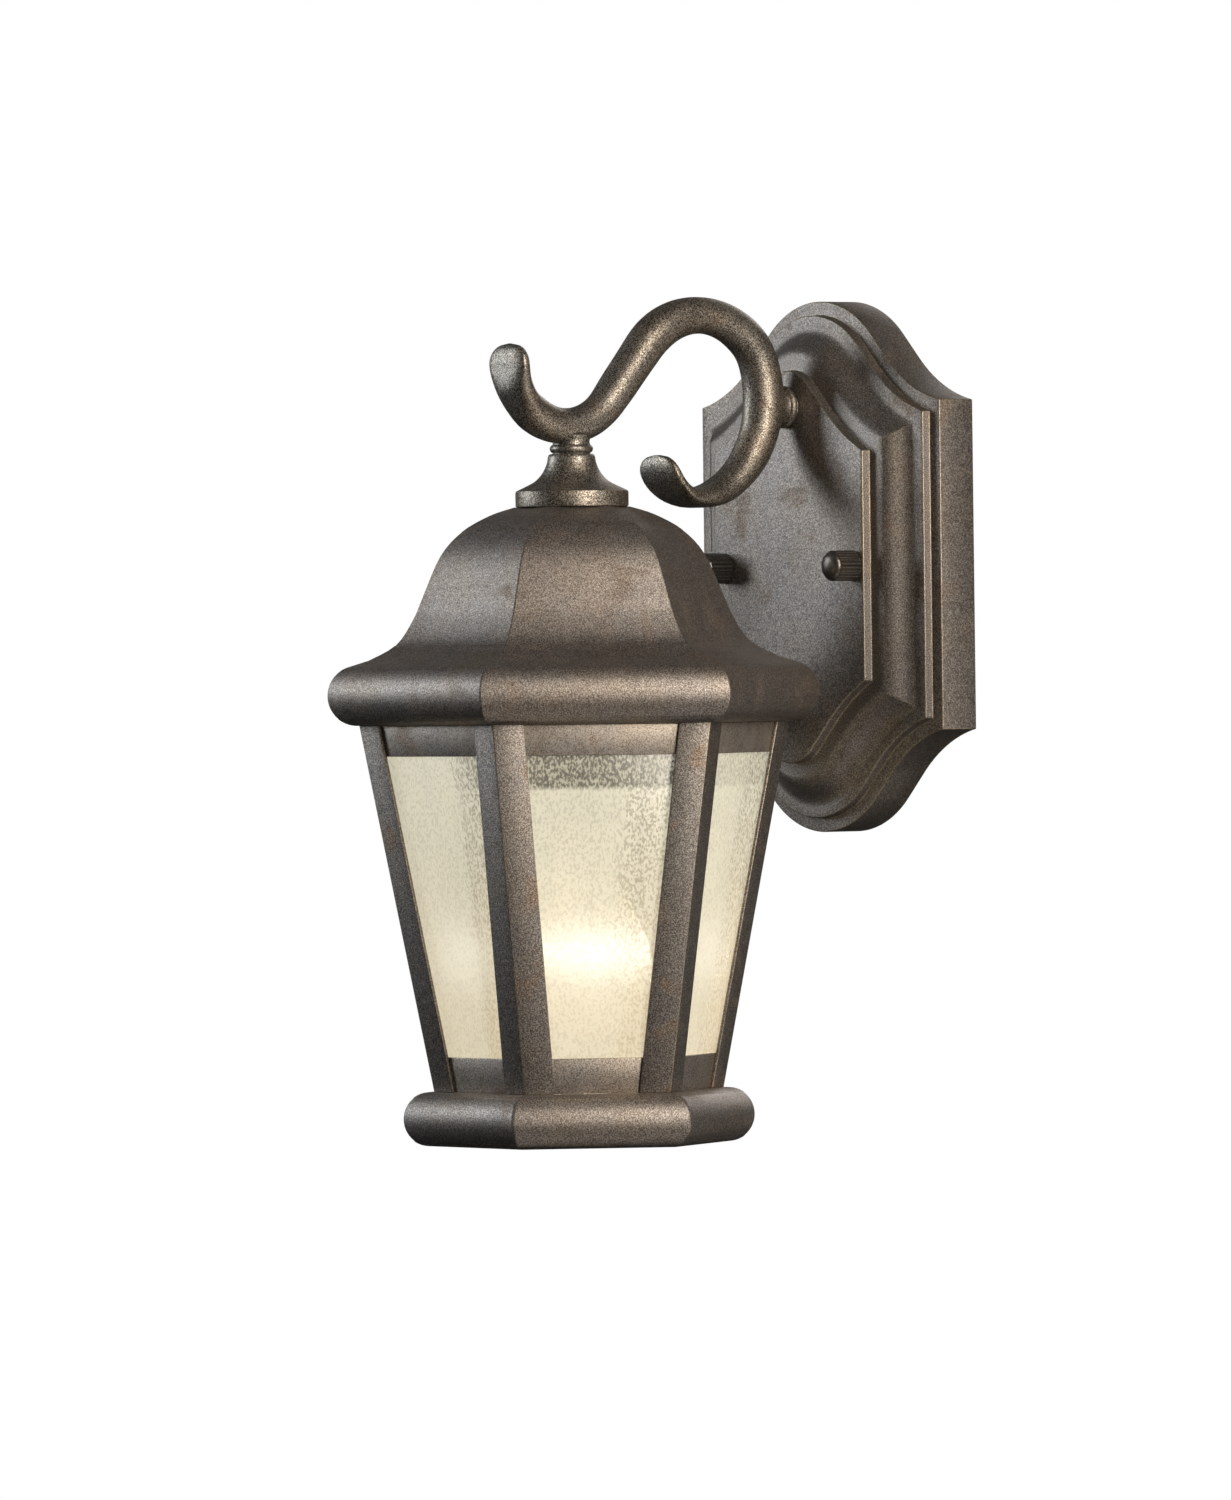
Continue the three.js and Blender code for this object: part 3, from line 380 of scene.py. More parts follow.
def seeded_glass_finish():
    finish = Finish("champagne_seeded_glass", Roughness=0.2, IOR=1.5)
    z = finish.axis("Z")
    east, north = finish.axis("X"), finish.axis("Y") - AXIS.y
    height = (z - pane_low.z) * (1 / (pane_high.z - pane_low.z))
    around = finish.make("ShaderNodeMath", {"operation": "ARCTAN2"}, {0: north, 1: east})
    swing = finish.function("COSINE", around * 6 - 6 * SEED_BAND_TURN)

    upright = finish.stretched((1, 1, 0.22))
    ripple = finish.noise(11, detail=3, rough=0.55, place=upright)
    broken = finish.noise(9, detail=4, rough=0.65, place=upright)
    band = (swing * 0.35 + broken).above(0.66, 0.16)
    seed = finish.noise(0.95, detail=1, rough=0.6, place=finish.stretched((1, 1, 0.6)))
    dark_seed = seed.above(0.53, 0.07)
    light_seed = seed.below(0.44, 0.06)
    crowd = 0.14 + 0.5 * band * (0.2 + 0.8 * height)

    # Painted light: the pane's colour is emitted, a painted glow that is warmer and a little brighter lower
    # down.
    cream = blend(height.above(0.45, 0.5), (0.785, 0.695, 0.505, 1), (0.71, 0.675, 0.53, 1))
    rippled = blend(ripple.above(0.5, 0.25) * 0.35, cream, (0.92, 0.83, 0.63, 1))
    amber = blend(height.above(0.5, 0.4), (0.64, 0.42, 0.18, 1), (0.20, 0.175, 0.115, 1))
    stained = blend(band * 0.18, rippled, amber)
    seeded = blend(dark_seed * crowd, stained, amber)
    # Painted glints: bright specks at some seeds, in the emitted colour.
    painted_glints = blend(light_seed * crowd * 0.6, seeded, (1.0, 0.97, 0.87, 1))
    # Painted shade: a dark, speckled band under the top rail, on the right side and mostly away from the
    # wall.
    from_top = RAIL_LOW - z
    side = east.above(28 * MM, 22 * MM) * (1 - 0.7 * north.above(8 * MM, 8 * MM))
    shaded = from_top.below(PAINTED_SHADE_BAND, 1.2 * MM) * side
    painted_top_shade = blend(shaded * (0.93 + 0.07 * dark_seed - 0.5 * light_seed), painted_glints, (0.05, 0.05, 0.046, 1))
    # Painted light: a stronger glow at the filament's height, most in the middle of each pane.
    up = (z - FILAMENT_Z) * (1 / HALO_HIGH)
    nearest = finish.function("COSINE", around * 6)
    painted_halo = finish.function("EXPONENT", up * up * -1.0) * (0.5 - 0.5 * nearest)
    glowing = blend(painted_halo * 0.4, painted_top_shade, (1.25, 1.18, 1.0, 1))
    putty = z.below(FOOT_OF_RAIL + PUTTY_HIGH, PUTTY_HIGH / 2)

    # The pane's whole colour is emitted: painted light in place of the lamp's light that the glass spreads.
    finish.put("Emission Color", blend(putty, glowing, (0.012, 0.011, 0.010, 1)))
    finish.shader.inputs["Emission Strength"].default_value = 0.74
    glass = blend(dark_seed, (0.30, 0.28, 0.22, 1), (0.16, 0.15, 0.12, 1))
    finish.put("Base Color", blend(putty, glass, (0.02, 0.018, 0.016, 1)))
    finish.put("Alpha", 0.79 + 0.05 * dark_seed - 0.05 * light_seed + 0.2 * putty)
    finish.bump(ripple * 1.2 + seed * 0.5, 0.5, 0.3)
    return finish.material


def lamp_glass_finish():
    """Clear lamp glass, with the glow of the filament strongest at the filament's height."""
    finish = Finish("lit_lamp_glass", Roughness=0.06, IOR=1.5, Alpha=0.35)
    above_filament = finish.axis("Z") - FILAMENT_Z
    squares = above_filament * above_filament * (1 / GLOW_HIGH ** 2)
    glow = finish.function("EXPONENT", squares * -1.0)
    haze = finish.noise(7, detail=3)
    finish.put("Base Color", blend(haze, (0.50, 0.47, 0.40, 1), (0.60, 0.57, 0.50, 1)))
    finish.put("Emission Color", blend(glow, (0.030, 0.025, 0.015, 1), (1.0, 0.97, 0.91, 1)))
    finish.shader.inputs["Emission Strength"].default_value = 9.0
    finish.bump(haze, 0.1, 0.2)
    return finish.material


seeded_glass = seeded_glass_finish()
lamp_glass = lamp_glass_finish()
print("made", seeded_glass.name, "and", lamp_glass.name)

# %% [markdown]
# ## Metals, plastics and wire out of sight
# The fixings behind the plate and inside the roof are plain bought goods: zinc-plated steel with a faint
# spangle, brass, a moulded lampholder, and insulated wire. Screw threads are a fine wave in the bump, so
# that a stud catches the light in rings. Each finish is short, because each has one thing to say.

# %% The small finishes
THREAD_PITCH = 0.9 * MM


def zinc_finish(name, thread_axis=None):
    finish = Finish(name, Metallic=0.9)
    spangle = finish.make("ShaderNodeSeparateColor", None, {0: finish.cells(3.5, "Color")}, 0)
    brushed = finish.noise(0.7, detail=2, place=finish.stretched((1, 1, 0.12)))
    dull = finish.noise(11, detail=4).above(0.55, 0.15)
    finish.put("Base Color", blend(dull * 0.6, (0.60, 0.61, 0.60, 1), (0.38, 0.37, 0.35, 1)))
    finish.put("Roughness", 0.26 + 0.12 * spangle + 0.12 * brushed + 0.15 * dull)
    if thread_axis:
        turns = finish.function("SINE", finish.axis(thread_axis) * (2 * math.pi / THREAD_PITCH))
        finish.bump(turns, 0.8, 0.3)
    else:
        finish.bump(brushed + spangle * 0.3, 0.3, 0.05)
    return finish.material


def plain_finish(name, light, dark, size_mm, roughness, metallic=0.0, relief_mm=0.05):
    """Two shades of one colour in a soft mottle, with a trace of relief."""
    finish = Finish(name, Metallic=metallic)
    mottle = finish.noise(size_mm, detail=4, rough=0.6)
    fine = finish.noise(0.8, detail=2)
    finish.put("Base Color", blend(mottle.above(0.5, 0.2), dark, light))
    finish.put("Roughness", roughness + 0.15 * fine)
    finish.bump(fine + mottle, 0.3, relief_mm)
    return finish.material


zinc = zinc_finish("zinc_plated_steel")
zinc_thread_out = zinc_finish("zinc_thread_out", "Y")
zinc_thread_up = zinc_finish("zinc_thread_up", "Z")
green_screw = plain_finish("green_enamel", (0.06, 0.30, 0.11, 1), (0.03, 0.16, 0.06, 1), 3, 0.3, 0.5)
phenolic = plain_finish("moulded_phenolic", (0.045, 0.036, 0.030, 1), (0.020, 0.017, 0.015, 1), 5, 0.35)
brass = plain_finish("plain_brass", (0.74, 0.55, 0.24, 1), (0.52, 0.36, 0.14, 1), 6, 0.25, 1.0)
lamp_cap = plain_finish("cap_aluminium", (0.74, 0.73, 0.70, 1), (0.55, 0.53, 0.50, 1), 5, 0.22, 1.0)
black_wire = plain_finish("black_insulation", (0.030, 0.030, 0.032, 1), (0.014, 0.014, 0.015, 1), 8, 0.35)
white_wire = plain_finish("white_insulation", (0.82, 0.80, 0.74, 1), (0.68, 0.65, 0.58, 1), 8, 0.38)
copper = plain_finish("bare_copper", (0.80, 0.42, 0.24, 1), (0.50, 0.22, 0.12, 1), 5, 0.28, 1.0)


def filament_finish():
    finish = Finish("glowing_filament", Roughness=0.5)
    coil = finish.noise(1.2, detail=2)
    finish.put("Base Color", blend(coil, (1.0, 0.72, 0.36, 1), (1.0, 0.92, 0.70, 1)))
    finish.put("Emission Color", blend(coil, (1.0, 0.80, 0.46, 1), (1.0, 0.93, 0.74, 1)))
    finish.shader.inputs["Emission Strength"].default_value = 30
    finish.bump(coil, 0.3, 0.1)
    return finish.material


filament = filament_finish()
print(len(bpy.data.materials), "finishes")

# %% [markdown]
# ## The maker's helpers
# Every piece goes through the same few steps, as on a bench. `take_up` deselects everything and picks one
# piece, since an operator works on all that is selected. `finish_piece` bakes the piece's place into its
# mesh, gives it its material, and hands it to the body it rides on in place of the frame's node.

# %% Bench helpers
MERGE_DISTANCE = 2e-6


def nothing_selected():
    if bpy.context.object and bpy.context.object.mode != "OBJECT":
        bpy.ops.object.mode_set(mode="OBJECT")
    bpy.ops.object.select_all(action="DESELECT")


def take_up(piece):
    nothing_selected()
    piece.select_set(True)
    bpy.context.view_layer.objects.active = piece


def in_edit_mode(piece, *steps):
    """Runs edit-mode operators on the whole piece, one after another."""
    take_up(piece)
    bpy.ops.object.mode_set(mode="EDIT")
    bpy.ops.mesh.select_all(action="SELECT")
    for step in steps:
        step()
    bpy.ops.object.mode_set(mode="OBJECT")


def select_everything():
    bpy.ops.mesh.select_all(action="SELECT")


def fill_every_hole():
    bpy.ops.mesh.fill_holes(sides=0)


def merge_doubles():
    bpy.ops.mesh.remove_doubles(threshold=MERGE_DISTANCE)


def face_outwards():
    bpy.ops.mesh.normals_make_consistent(inside=False)


def add_modifier(piece, kind, **settings):
    """Adds one modifier and applies it."""
    take_up(piece)
    modifier = piece.modifiers.new(kind.title(), kind)
    for key, value in settings.items():
        setattr(modifier, key, value)
    bpy.ops.object.modifier_apply(modifier=modifier.name)


def round_edges(piece, width_mm, segments=3, angle=32, worn=False):
    """Rounds every sharp edge. The new faces of a worn edge are marked for a second material."""
    piece.data.materials.clear()
    for _ in range(2):
        piece.data.materials.append(worn_bronze)
    add_modifier(piece, "BEVEL", width=width_mm * MM, segments=segments, limit_method="ANGLE",
                 angle_limit=math.radians(angle), use_clamp_overlap=True, material=1 if worn else -1)


def finish_piece(piece, name, node, material, smooth=35):
    """Bakes the piece's place into its mesh and lets it stand for one node of the frame."""
    take_up(piece)
    bpy.ops.object.transform_apply(location=True, rotation=True, scale=True)
    bpy.ops.object.shade_smooth_by_angle(angle=math.radians(smooth))
    piece.name = name
    piece.data.name = name
    if any(face.material_index == 1 for face in piece.data.polygons):
        piece.data.materials[0] = material
    else:
        piece.data.materials.clear()
        piece.data.materials.append(material)
    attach(piece, body_of[node])
    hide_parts(node)
    return piece


print("helpers ready")

# %% [markdown]
# ## Turned shapes
# Bells, rolls, rings and lamp glass are all made on a lathe, or look as if they were. Blender's lathe is
# the Spin operator. The profile starts as a circle of as many corners as the drawing has, each corner is
# moved to its place, and the loop is spun about the lantern's axis. With six steps the same lathe makes a
# hexagon, which is how the roof and the base get their flat faces and mitred corners.

# %% The lathe
def arc(centre_r, centre_z, radius, start, end, steps):
    """Points on an arc, in millimetres: distance from the axis, and height."""
    turns = [math.radians(start + (end - start) * i / steps) for i in range(steps + 1)]
    return [(centre_r + radius * math.cos(t), centre_z + radius * math.sin(t)) for t in turns]


def smooth_line(points, steps):
    """A smooth line through all the points: the Catmull-Rom curve."""
    padded = [points[0], *points, points[-1]]
    line = []
    for before, here, there, after in zip(padded, padded[1:], padded[2:], padded[3:]):
        for i in range(steps):
            t = i / steps
            line.append(tuple(
                0.5 * (2 * b + (c - a) * t + (2 * a - 5 * b + 4 * c - d) * t * t
                       + (3 * b - a - 3 * c + d) * t ** 3)
                for a, b, c, d in zip(before, here, there, after)))
    return [*line, points[-1]]


def turned(profile_mm, steps, centre=AXIS, axis=(0, 0, 1)):
    """Spins a closed profile of (distance from the axis, place along it) right round the axis."""
    nothing_selected()
    bpy.ops.mesh.primitive_circle_add(vertices=len(profile_mm))
    piece = bpy.context.object
    for vertex, (r, along) in zip(piece.data.vertices, profile_mm):
        vertex.co = centre + Vector((r, 0, 0)) * MM + Vector(axis) * along * MM
    in_edit_mode(
        piece,
        lambda: bpy.ops.mesh.spin(steps=steps, angle=2 * math.pi, center=centre, axis=axis),
        select_everything,
        merge_doubles,
        lambda: bpy.ops.mesh.delete_loose(use_verts=True, use_edges=True, use_faces=False),
        face_outwards,
    )
    return piece


print("lathe ready")

# %% [markdown]
# ## The roof
# The roof is one casting. A bell rises over the cage with a hollow flank, and ends below in a half-round
# roll that stops the rain. The profile is drawn once on a corner and spun in six steps. The corners of a
# casting are never sharp, so a bevel rounds the six ridges, and the same bevel softens the lip.

# %% The roof
ROOF_TOP = 24.6
ROOF_WALL = 2.6
ROOF_HOLE_R = 8
ROLL = (87.8, -50.0, 12.0)

flank = smooth_line([(23.5, ROOF_TOP), (33.4, 21.4), (44.8, 15), (53.6, 5.4),
                     (60.7, -10.3), (65, -20), (72, -30), (83, -36)], 4)
roll_r, roll_z, roll_size = ROLL
inner_flank = [(r - ROOF_WALL * 1.3, z - ROOF_WALL) for r, z in flank[::2]]
roof_profile = [
    (ROOF_HOLE_R, ROOF_TOP),
    *flank,
    *arc(roll_r, roll_z, roll_size, 72, -90, 20),
    (roll_r + 1.2, roll_z - roll_size),
    (roll_r + 1.2, roll_z - roll_size + ROOF_WALL),
    *arc(roll_r, roll_z, roll_size - ROOF_WALL, -60, 60, 10),
    *reversed(inner_flank),
    (ROOF_HOLE_R, ROOF_TOP - ROOF_WALL),
]
roof = turned(roof_profile, 6)
round_edges(roof, 1.6, segments=4, angle=38)
finish_piece(roof, "roof_casting", "roof", cast_bronze, 30)
print("roof:", len(roof.data.polygons), "faces")

# %% [markdown]
# ## The base
# The base is a half-round ring under the cage, of much the same section as the roof's roll. It is open in
# the middle, so that a hand can reach the lamp.

# %% The base
base_low, base_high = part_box("base_ring")
BASE_TOP, BASE_BOTTOM = base_high.z / MM, base_low.z / MM
half = (BASE_TOP - BASE_BOTTOM) / 2
BASE_REACH = 71.4
BASE_MOUTH = 47.5
BASE_LIP = 57
BASE_WALL = 2.5
middle_r = BASE_REACH - half
base = turned([
    (BASE_MOUTH, BASE_TOP),
    *arc(middle_r, BASE_TOP - half, half, 86, -86, 24),
    (BASE_LIP, BASE_BOTTOM),
    (BASE_LIP, BASE_BOTTOM + BASE_WALL),
    *arc(middle_r, BASE_TOP - half, half - BASE_WALL, -84, 84, 12),
    (BASE_MOUTH, BASE_TOP - BASE_WALL),
], 6)
round_edges(base, 1.1, segments=4, angle=38)
finish_piece(base, "base_casting", "base_ring", cast_bronze, 30)
print("base:", len(base.data.polygons), "faces")

# %% [markdown]
# ## The neck
# A small turned bell covers the joint between the arm and the roof. It stands on a disc with a rounded
# rim. This one is truly round, so it is spun in many steps.

# %% The neck bell
NECK_BORE = 5.15
neck = turned([
    (NECK_BORE, ROOF_TOP),
    (22.1, ROOF_TOP), (22.6, 24.9), (22.7, 25.5),
    (22.7, 30.2), (22.5, 30.9), (21.9, 31.3),
    *smooth_line([(20.9, 31.8), (19.6, 32.4), (14.9, 34.9), (11.8, 38.2), (10, 42), (9.5, 44.6)], 5),
    (9.2, 45.4), (8.6, 45.8), (7.9, 45.9),
    (NECK_BORE, 45.9),
], 72)
finish_piece(neck, "neck_turning", "neck_bell", arm_bronze, 40)
print("neck:", len(neck.data.polygons), "faces")

# %% [markdown]
# ## The scroll arm
# The arm has the pattern of a forged bar: flattened to a spoon at both tips, round between them, and bent
# in one plane. Its middle line is a chain of arcs and two straights, walked from the lowest point over
# the neck: forwards to the front curl, and backwards over the hump to the rear curl. At each station
# stands a ring, as wide and as thick as the bar is there and turned square to the line. Where the bar is
# flat, the ring is squarer than an ellipse. The Bridge operator skins all the rings in one go.

# %% The arm's middle line
ARM_LOW = (-149.2, 57.0)
FRONT_CURL = [(-28.9, 48), (-25, 57)]
HUMP_AND_LOOP = [(28.9, 49.4), (0, 28.9), (-36.9, 92.6), (-22.5, 26.4), (-41.8, 82.7), (-30, 26)]
REAR_CURL = [(0, 2), (-17.4, 91)]
ARM_STEP = 2.2


def walk(heading, legs):
    """Stations (y, z, heading, length). A leg is (radius, degrees), or (0, millimetres) if it is straight."""
    y, z = ARM_LOW
    length = 0.0
    stations = [(y, z, heading, length)]
    for radius, amount in legs:
        leg = amount if radius == 0 else abs(radius) * math.radians(amount)
        count = math.ceil(leg / ARM_STEP)
        turn = 0 if radius == 0 else math.copysign(amount / count, radius)
        chord = leg / count if radius == 0 else 2 * abs(radius) * math.sin(math.radians(abs(turn)) / 2)
        for _ in range(count):
            along = math.radians(heading + turn / 2)
            y, z = y + chord * math.cos(along), z + chord * math.sin(along)
            heading, length = heading + turn, length + leg / count
            stations.append((y, z, heading, length))
    return stations


to_front = walk(180, FRONT_CURL)
to_rear = walk(0, HUMP_AND_LOOP + REAR_CURL)
front_length = to_front[-1][3]
arm_line = [(y, z, heading - 180, front_length - s) for y, z, heading, s in reversed(to_front[1:])]
arm_line += [(y, z, heading, front_length + s) for y, z, heading, s in to_rear]
arm_length = arm_line[-1][3]
print(f"the bar is {arm_length:.0f} mm long, with {len(arm_line)} stations")

# %% [markdown]
# ### The bar's thickness
# The table gives half the width and half the thickness at places along the bar. Between them a smooth
# step blends one into the next. Near each tip both shrink along a quarter of a squared-off ellipse, which
# rounds the spoon's end.

# %% The arm
ARM_SECTIONS = [
    (0, 11.2, 2.7), (8, 11.6, 2.9), (20, 9.7, 5.2), (32, 7.9, 7.5), (50, 7.2, 7.2), (66, 7.2, 7.2),
    (86, 7.8, 7.8), (110, 8.2, 8.2), (138, 7.4, 7.4), (165, 8, 8), (190, 8.4, 8.4), (208, 7.8, 7.7),
    (228, 8.2, 6.1), (248, 10.4, 4.2), (264, 12.4, 2.5), (arm_length, 12, 2),
]
TIP_ROUND = 9
TIP_SQUARE = 2.5


def bar_size(s):
    """Half width and half thickness of the bar, in millimetres, at the length s from its front tip."""
    k = 0
    while k < len(ARM_SECTIONS) - 2 and s > ARM_SECTIONS[k + 1][0]:
        k += 1
    (start, wide_a, thick_a), (end, wide_b, thick_b) = ARM_SECTIONS[k], ARM_SECTIONS[k + 1]
    t = min(1, max(0, (s - start) / (end - start)))
    t = t * t * (3 - 2 * t)
    from_tip = min(1, min(s, arm_length - s) / TIP_ROUND)
    rounding = (1 - (1 - from_tip) ** TIP_SQUARE) ** (1 / TIP_SQUARE)
    wide = (wide_a + (wide_b - wide_a) * t) * max(rounding, 0.12)
    thick = (thick_a + (thick_b - thick_a) * t) * max(rounding, 0.3)
    return wide, thick


def near_tip(s):
    return min(s, arm_length - s) < TIP_ROUND


stations = []
for (y, z, heading, s), following in zip(arm_line, arm_line[1:] + [None]):
    stations.append((y, z, heading, s))
    if following and near_tip(s):
        for share in (0.33, 0.66):
            stations.append(tuple(a + (b - a) * share for a, b in zip((y, z, heading, s), following)))

nothing_selected()
rings = []
for y, z, heading, s in stations:
    bpy.ops.mesh.primitive_circle_add(
        vertices=40, radius=MM, location=(0, y * MM, z * MM), rotation=(math.radians(heading + 90), 0, 0))
    ring = bpy.context.object
    wide, thick = bar_size(s)
    squareness = 2 / (2 + min(1.4, 0.5 * (wide / thick - 1)))
    for vertex in ring.data.vertices:
        across, through = vertex.co.x / MM, vertex.co.y / MM
        vertex.co.x = math.copysign(abs(across) ** squareness, across) * wide * MM
        vertex.co.y = math.copysign(abs(through) ** squareness, through) * thick * MM
    rings.append(ring)
for ring in rings:
    ring.select_set(True)
bpy.ops.object.join()
arm = bpy.context.object
bpy.ops.object.transform_apply(location=True, rotation=True, scale=True)
in_edit_mode(arm, bpy.ops.mesh.bridge_edge_loops, select_everything, fill_every_hole, select_everything,
             face_outwards)
print("arm:", len(arm.data.polygons), "faces")

# %% [markdown]
# ### The arm's collars
# Each end of the wire's way through the arm has a turned collar: a round bead with a groove behind it.
# One presses on the plate and one stands over the neck. The collars are turned on their own axes and
# merged with the bar by a Boolean, so that the arm is one closed casting.

# %% Collars
COLLAR_R = 8.7
COLLAR_BEAD = 1.8
BOSS = Vector((0, -35 * MM, 65 * MM))
NECK_TOP = AXIS + Vector((0, 0, 46.0 * MM))
COLLAR_HIGH = 7.4
collar_profile = [
    (0, 0), (7.6, 0),
    *arc(COLLAR_R - COLLAR_BEAD, 1.9, COLLAR_BEAD, -70, 70, 12),
    (7.5, 3.9), (7.3, 4.6), (7.5, 5.6), (7.9, COLLAR_HIGH), (0, COLLAR_HIGH),
]
for foot, axis in ((BOSS, (0, -1, 0)), (NECK_TOP, (0, 0, 1))):
    collar = turned(collar_profile, 48, foot, axis)
    add_modifier(arm, "BOOLEAN", operation="UNION", object=collar, solver="EXACT")
    bpy.data.objects.remove(collar)
finish_piece(arm, "arm_forging", "arm", arm_bronze, 50)
print("arm with collars:", len(arm.data.polygons), "faces")

# %% [markdown]
# ## The wall plate
# The plate is a hollow casting with an arched outline: a round crown, a cove on each side of it, and a
# straight side, the same above and below. Its moulding runs inwards in steps: plain edge, step, ogee, and
# a raised flat panel. A plain inset would fold over itself at the mitred corners, where arcs grow shorter
# as they move inwards. So the outline is a function of the inset, always with the same number of points,
# and the moulding is made by extruding the ring of points again and again, and putting each new ring in
# its place.

# %% The plate's outline
PLATE_HALF_WIDTH = 76.2
PLATE_CORNER_Z = 66.5
PLATE_APEX_Z = 108
CROWN_R = 47
COVE_R = 64

crown_z = PLATE_APEX_Z - CROWN_R
cos_45 = math.sqrt(0.5)
span = PLATE_HALF_WIDTH + PLATE_CORNER_Z - 2 * cos_45 * CROWN_R - crown_z - 2 * cos_45 * COVE_R
cove_end = math.asin(-span / COVE_R * cos_45) - math.pi / 4
cove_x = PLATE_HALF_WIDTH + COVE_R * math.sin(cove_end)
cove_z = PLATE_CORNER_Z + COVE_R * math.cos(cove_end)


def plate_outline(inset, depth):
    """The plate's outline moved inwards, at a depth in front of the wall, as points in metres."""
    cove_r = COVE_R + inset
    end = math.degrees(math.asin((cove_x - PLATE_HALF_WIDTH + inset) / cove_r))
    quarter = arc(0, crown_z, CROWN_R - inset, 90, 45, 18) + arc(cove_x, cove_z, cove_r, 225, 270 - end, 16)
    side = quarter + [(x, -z) for x, z in reversed(quarter)]
    whole = side + [(-x, z) for x, z in reversed(side)][1:-1]
    return [Vector((x, -depth, z)) * MM for x, z in whole]


print("points on the outline:", len(plate_outline(0, 0)))

# %% The plate
RIM_DEPTH = 17.8
STEP_INSET, STEP_DEPTH = 5.8, 21.8
OGEE_FOOT, OGEE_TOP, OGEE_TOP_DEPTH = 10, 23, 30.8
PANEL_INSET, PANEL_DEPTH = 28.3, 35
PLATE_WALL = 3
OGEE_WALL = 2.5


def ogee(foot, foot_depth, end, end_depth, steps):
    """An S-shaped slope from one inset and depth to another."""
    points = []
    for i in range(steps + 1):
        t = i / steps
        pull = 3 * t * (1 - t) * (1 - t) * 0.45 + 3 * t * t * (1 - t) * 0.55 + t ** 3
        rise = t * t * (3 - 2 * t)
        points.append((foot + (end - foot) * pull, foot_depth + (end_depth - foot_depth) * rise))
    return points


outside = [
    (0, 0), (0, RIM_DEPTH), (STEP_INSET, RIM_DEPTH), (STEP_INSET, STEP_DEPTH),
    *ogee(OGEE_FOOT, STEP_DEPTH, OGEE_TOP, OGEE_TOP_DEPTH, 14),
    (PANEL_INSET, OGEE_TOP_DEPTH), (PANEL_INSET, PANEL_DEPTH),
]
inside = [
    (PLATE_WALL, 0), (PLATE_WALL, RIM_DEPTH - PLATE_WALL),
    (STEP_INSET + PLATE_WALL, RIM_DEPTH - PLATE_WALL), (STEP_INSET + PLATE_WALL, STEP_DEPTH - PLATE_WALL),
    *ogee(OGEE_FOOT + OGEE_WALL, STEP_DEPTH - PLATE_WALL,
          OGEE_TOP + OGEE_WALL, OGEE_TOP_DEPTH - PLATE_WALL, 8),
    (PANEL_INSET + PLATE_WALL, OGEE_TOP_DEPTH - PLATE_WALL),
    (PANEL_INSET + PLATE_WALL, PANEL_DEPTH - PLATE_WALL),
]


def extruded_rings(rings):
    """A circle's corners put on the first ring, then extruded from ring to ring. Both ends are filled."""
    nothing_selected()
    bpy.ops.mesh.primitive_circle_add(vertices=len(rings[0]))
    piece = bpy.context.object
    for vertex, point in zip(piece.data.vertices, rings[0]):
        vertex.co = point
    for old, new in zip(rings, rings[1:]):
        target = {tuple(round(c, 6) for c in a): b for a, b in zip(old, new)}
        bpy.ops.object.mode_set(mode="EDIT")
        bpy.ops.mesh.extrude_region()
        bpy.ops.object.mode_set(mode="OBJECT")
        for vertex in piece.data.vertices:
            if vertex.select:
                vertex.co = target[tuple(round(c, 6) for c in vertex.co)]
    in_edit_mode(piece, fill_every_hole, select_everything, face_outwards)
    return piece


plate = extruded_rings([plate_outline(inset, depth) for inset, depth in [*reversed(inside), *outside]])
round_edges(plate, 0.55, angle=24, worn=True)
finish_piece(plate, "plate_casting", "backplate", plate_bronze, 30)
print("plate:", len(plate.data.polygons), "faces")

# %% [markdown]
# ## The cap nuts
# Two knurled cap nuts hold the plate on its studs. A cylinder with as many sides as the knurl has ridges
# is the start. Its front face is extruded and made smaller in six steps along a quarter circle, and that
# is the dome. Then every side is inset on its own and pushed out a little, which leaves a groove between
# each two.

# %% The cap nuts
NUT_R = 6.2
NUT_LENGTH = 11
NUT_DOME = 2.4
KNURL = 24
KNURL_BASE_R = NUT_R - 0.45
KNURL_INSET = 0.36
KNURL_RISE = 0.5


def choose_faces(piece, wanted):
    """Selects only the faces for which wanted(face) is true, and enters edit mode."""
    take_up(piece)
    bpy.ops.object.mode_set(mode="EDIT")
    bpy.ops.mesh.select_mode(type="FACE")
    bpy.ops.mesh.select_all(action="DESELECT")
    bpy.ops.object.mode_set(mode="OBJECT")
    for face in piece.data.polygons:
        face.select = wanted(face)
    bpy.ops.object.mode_set(mode="EDIT")


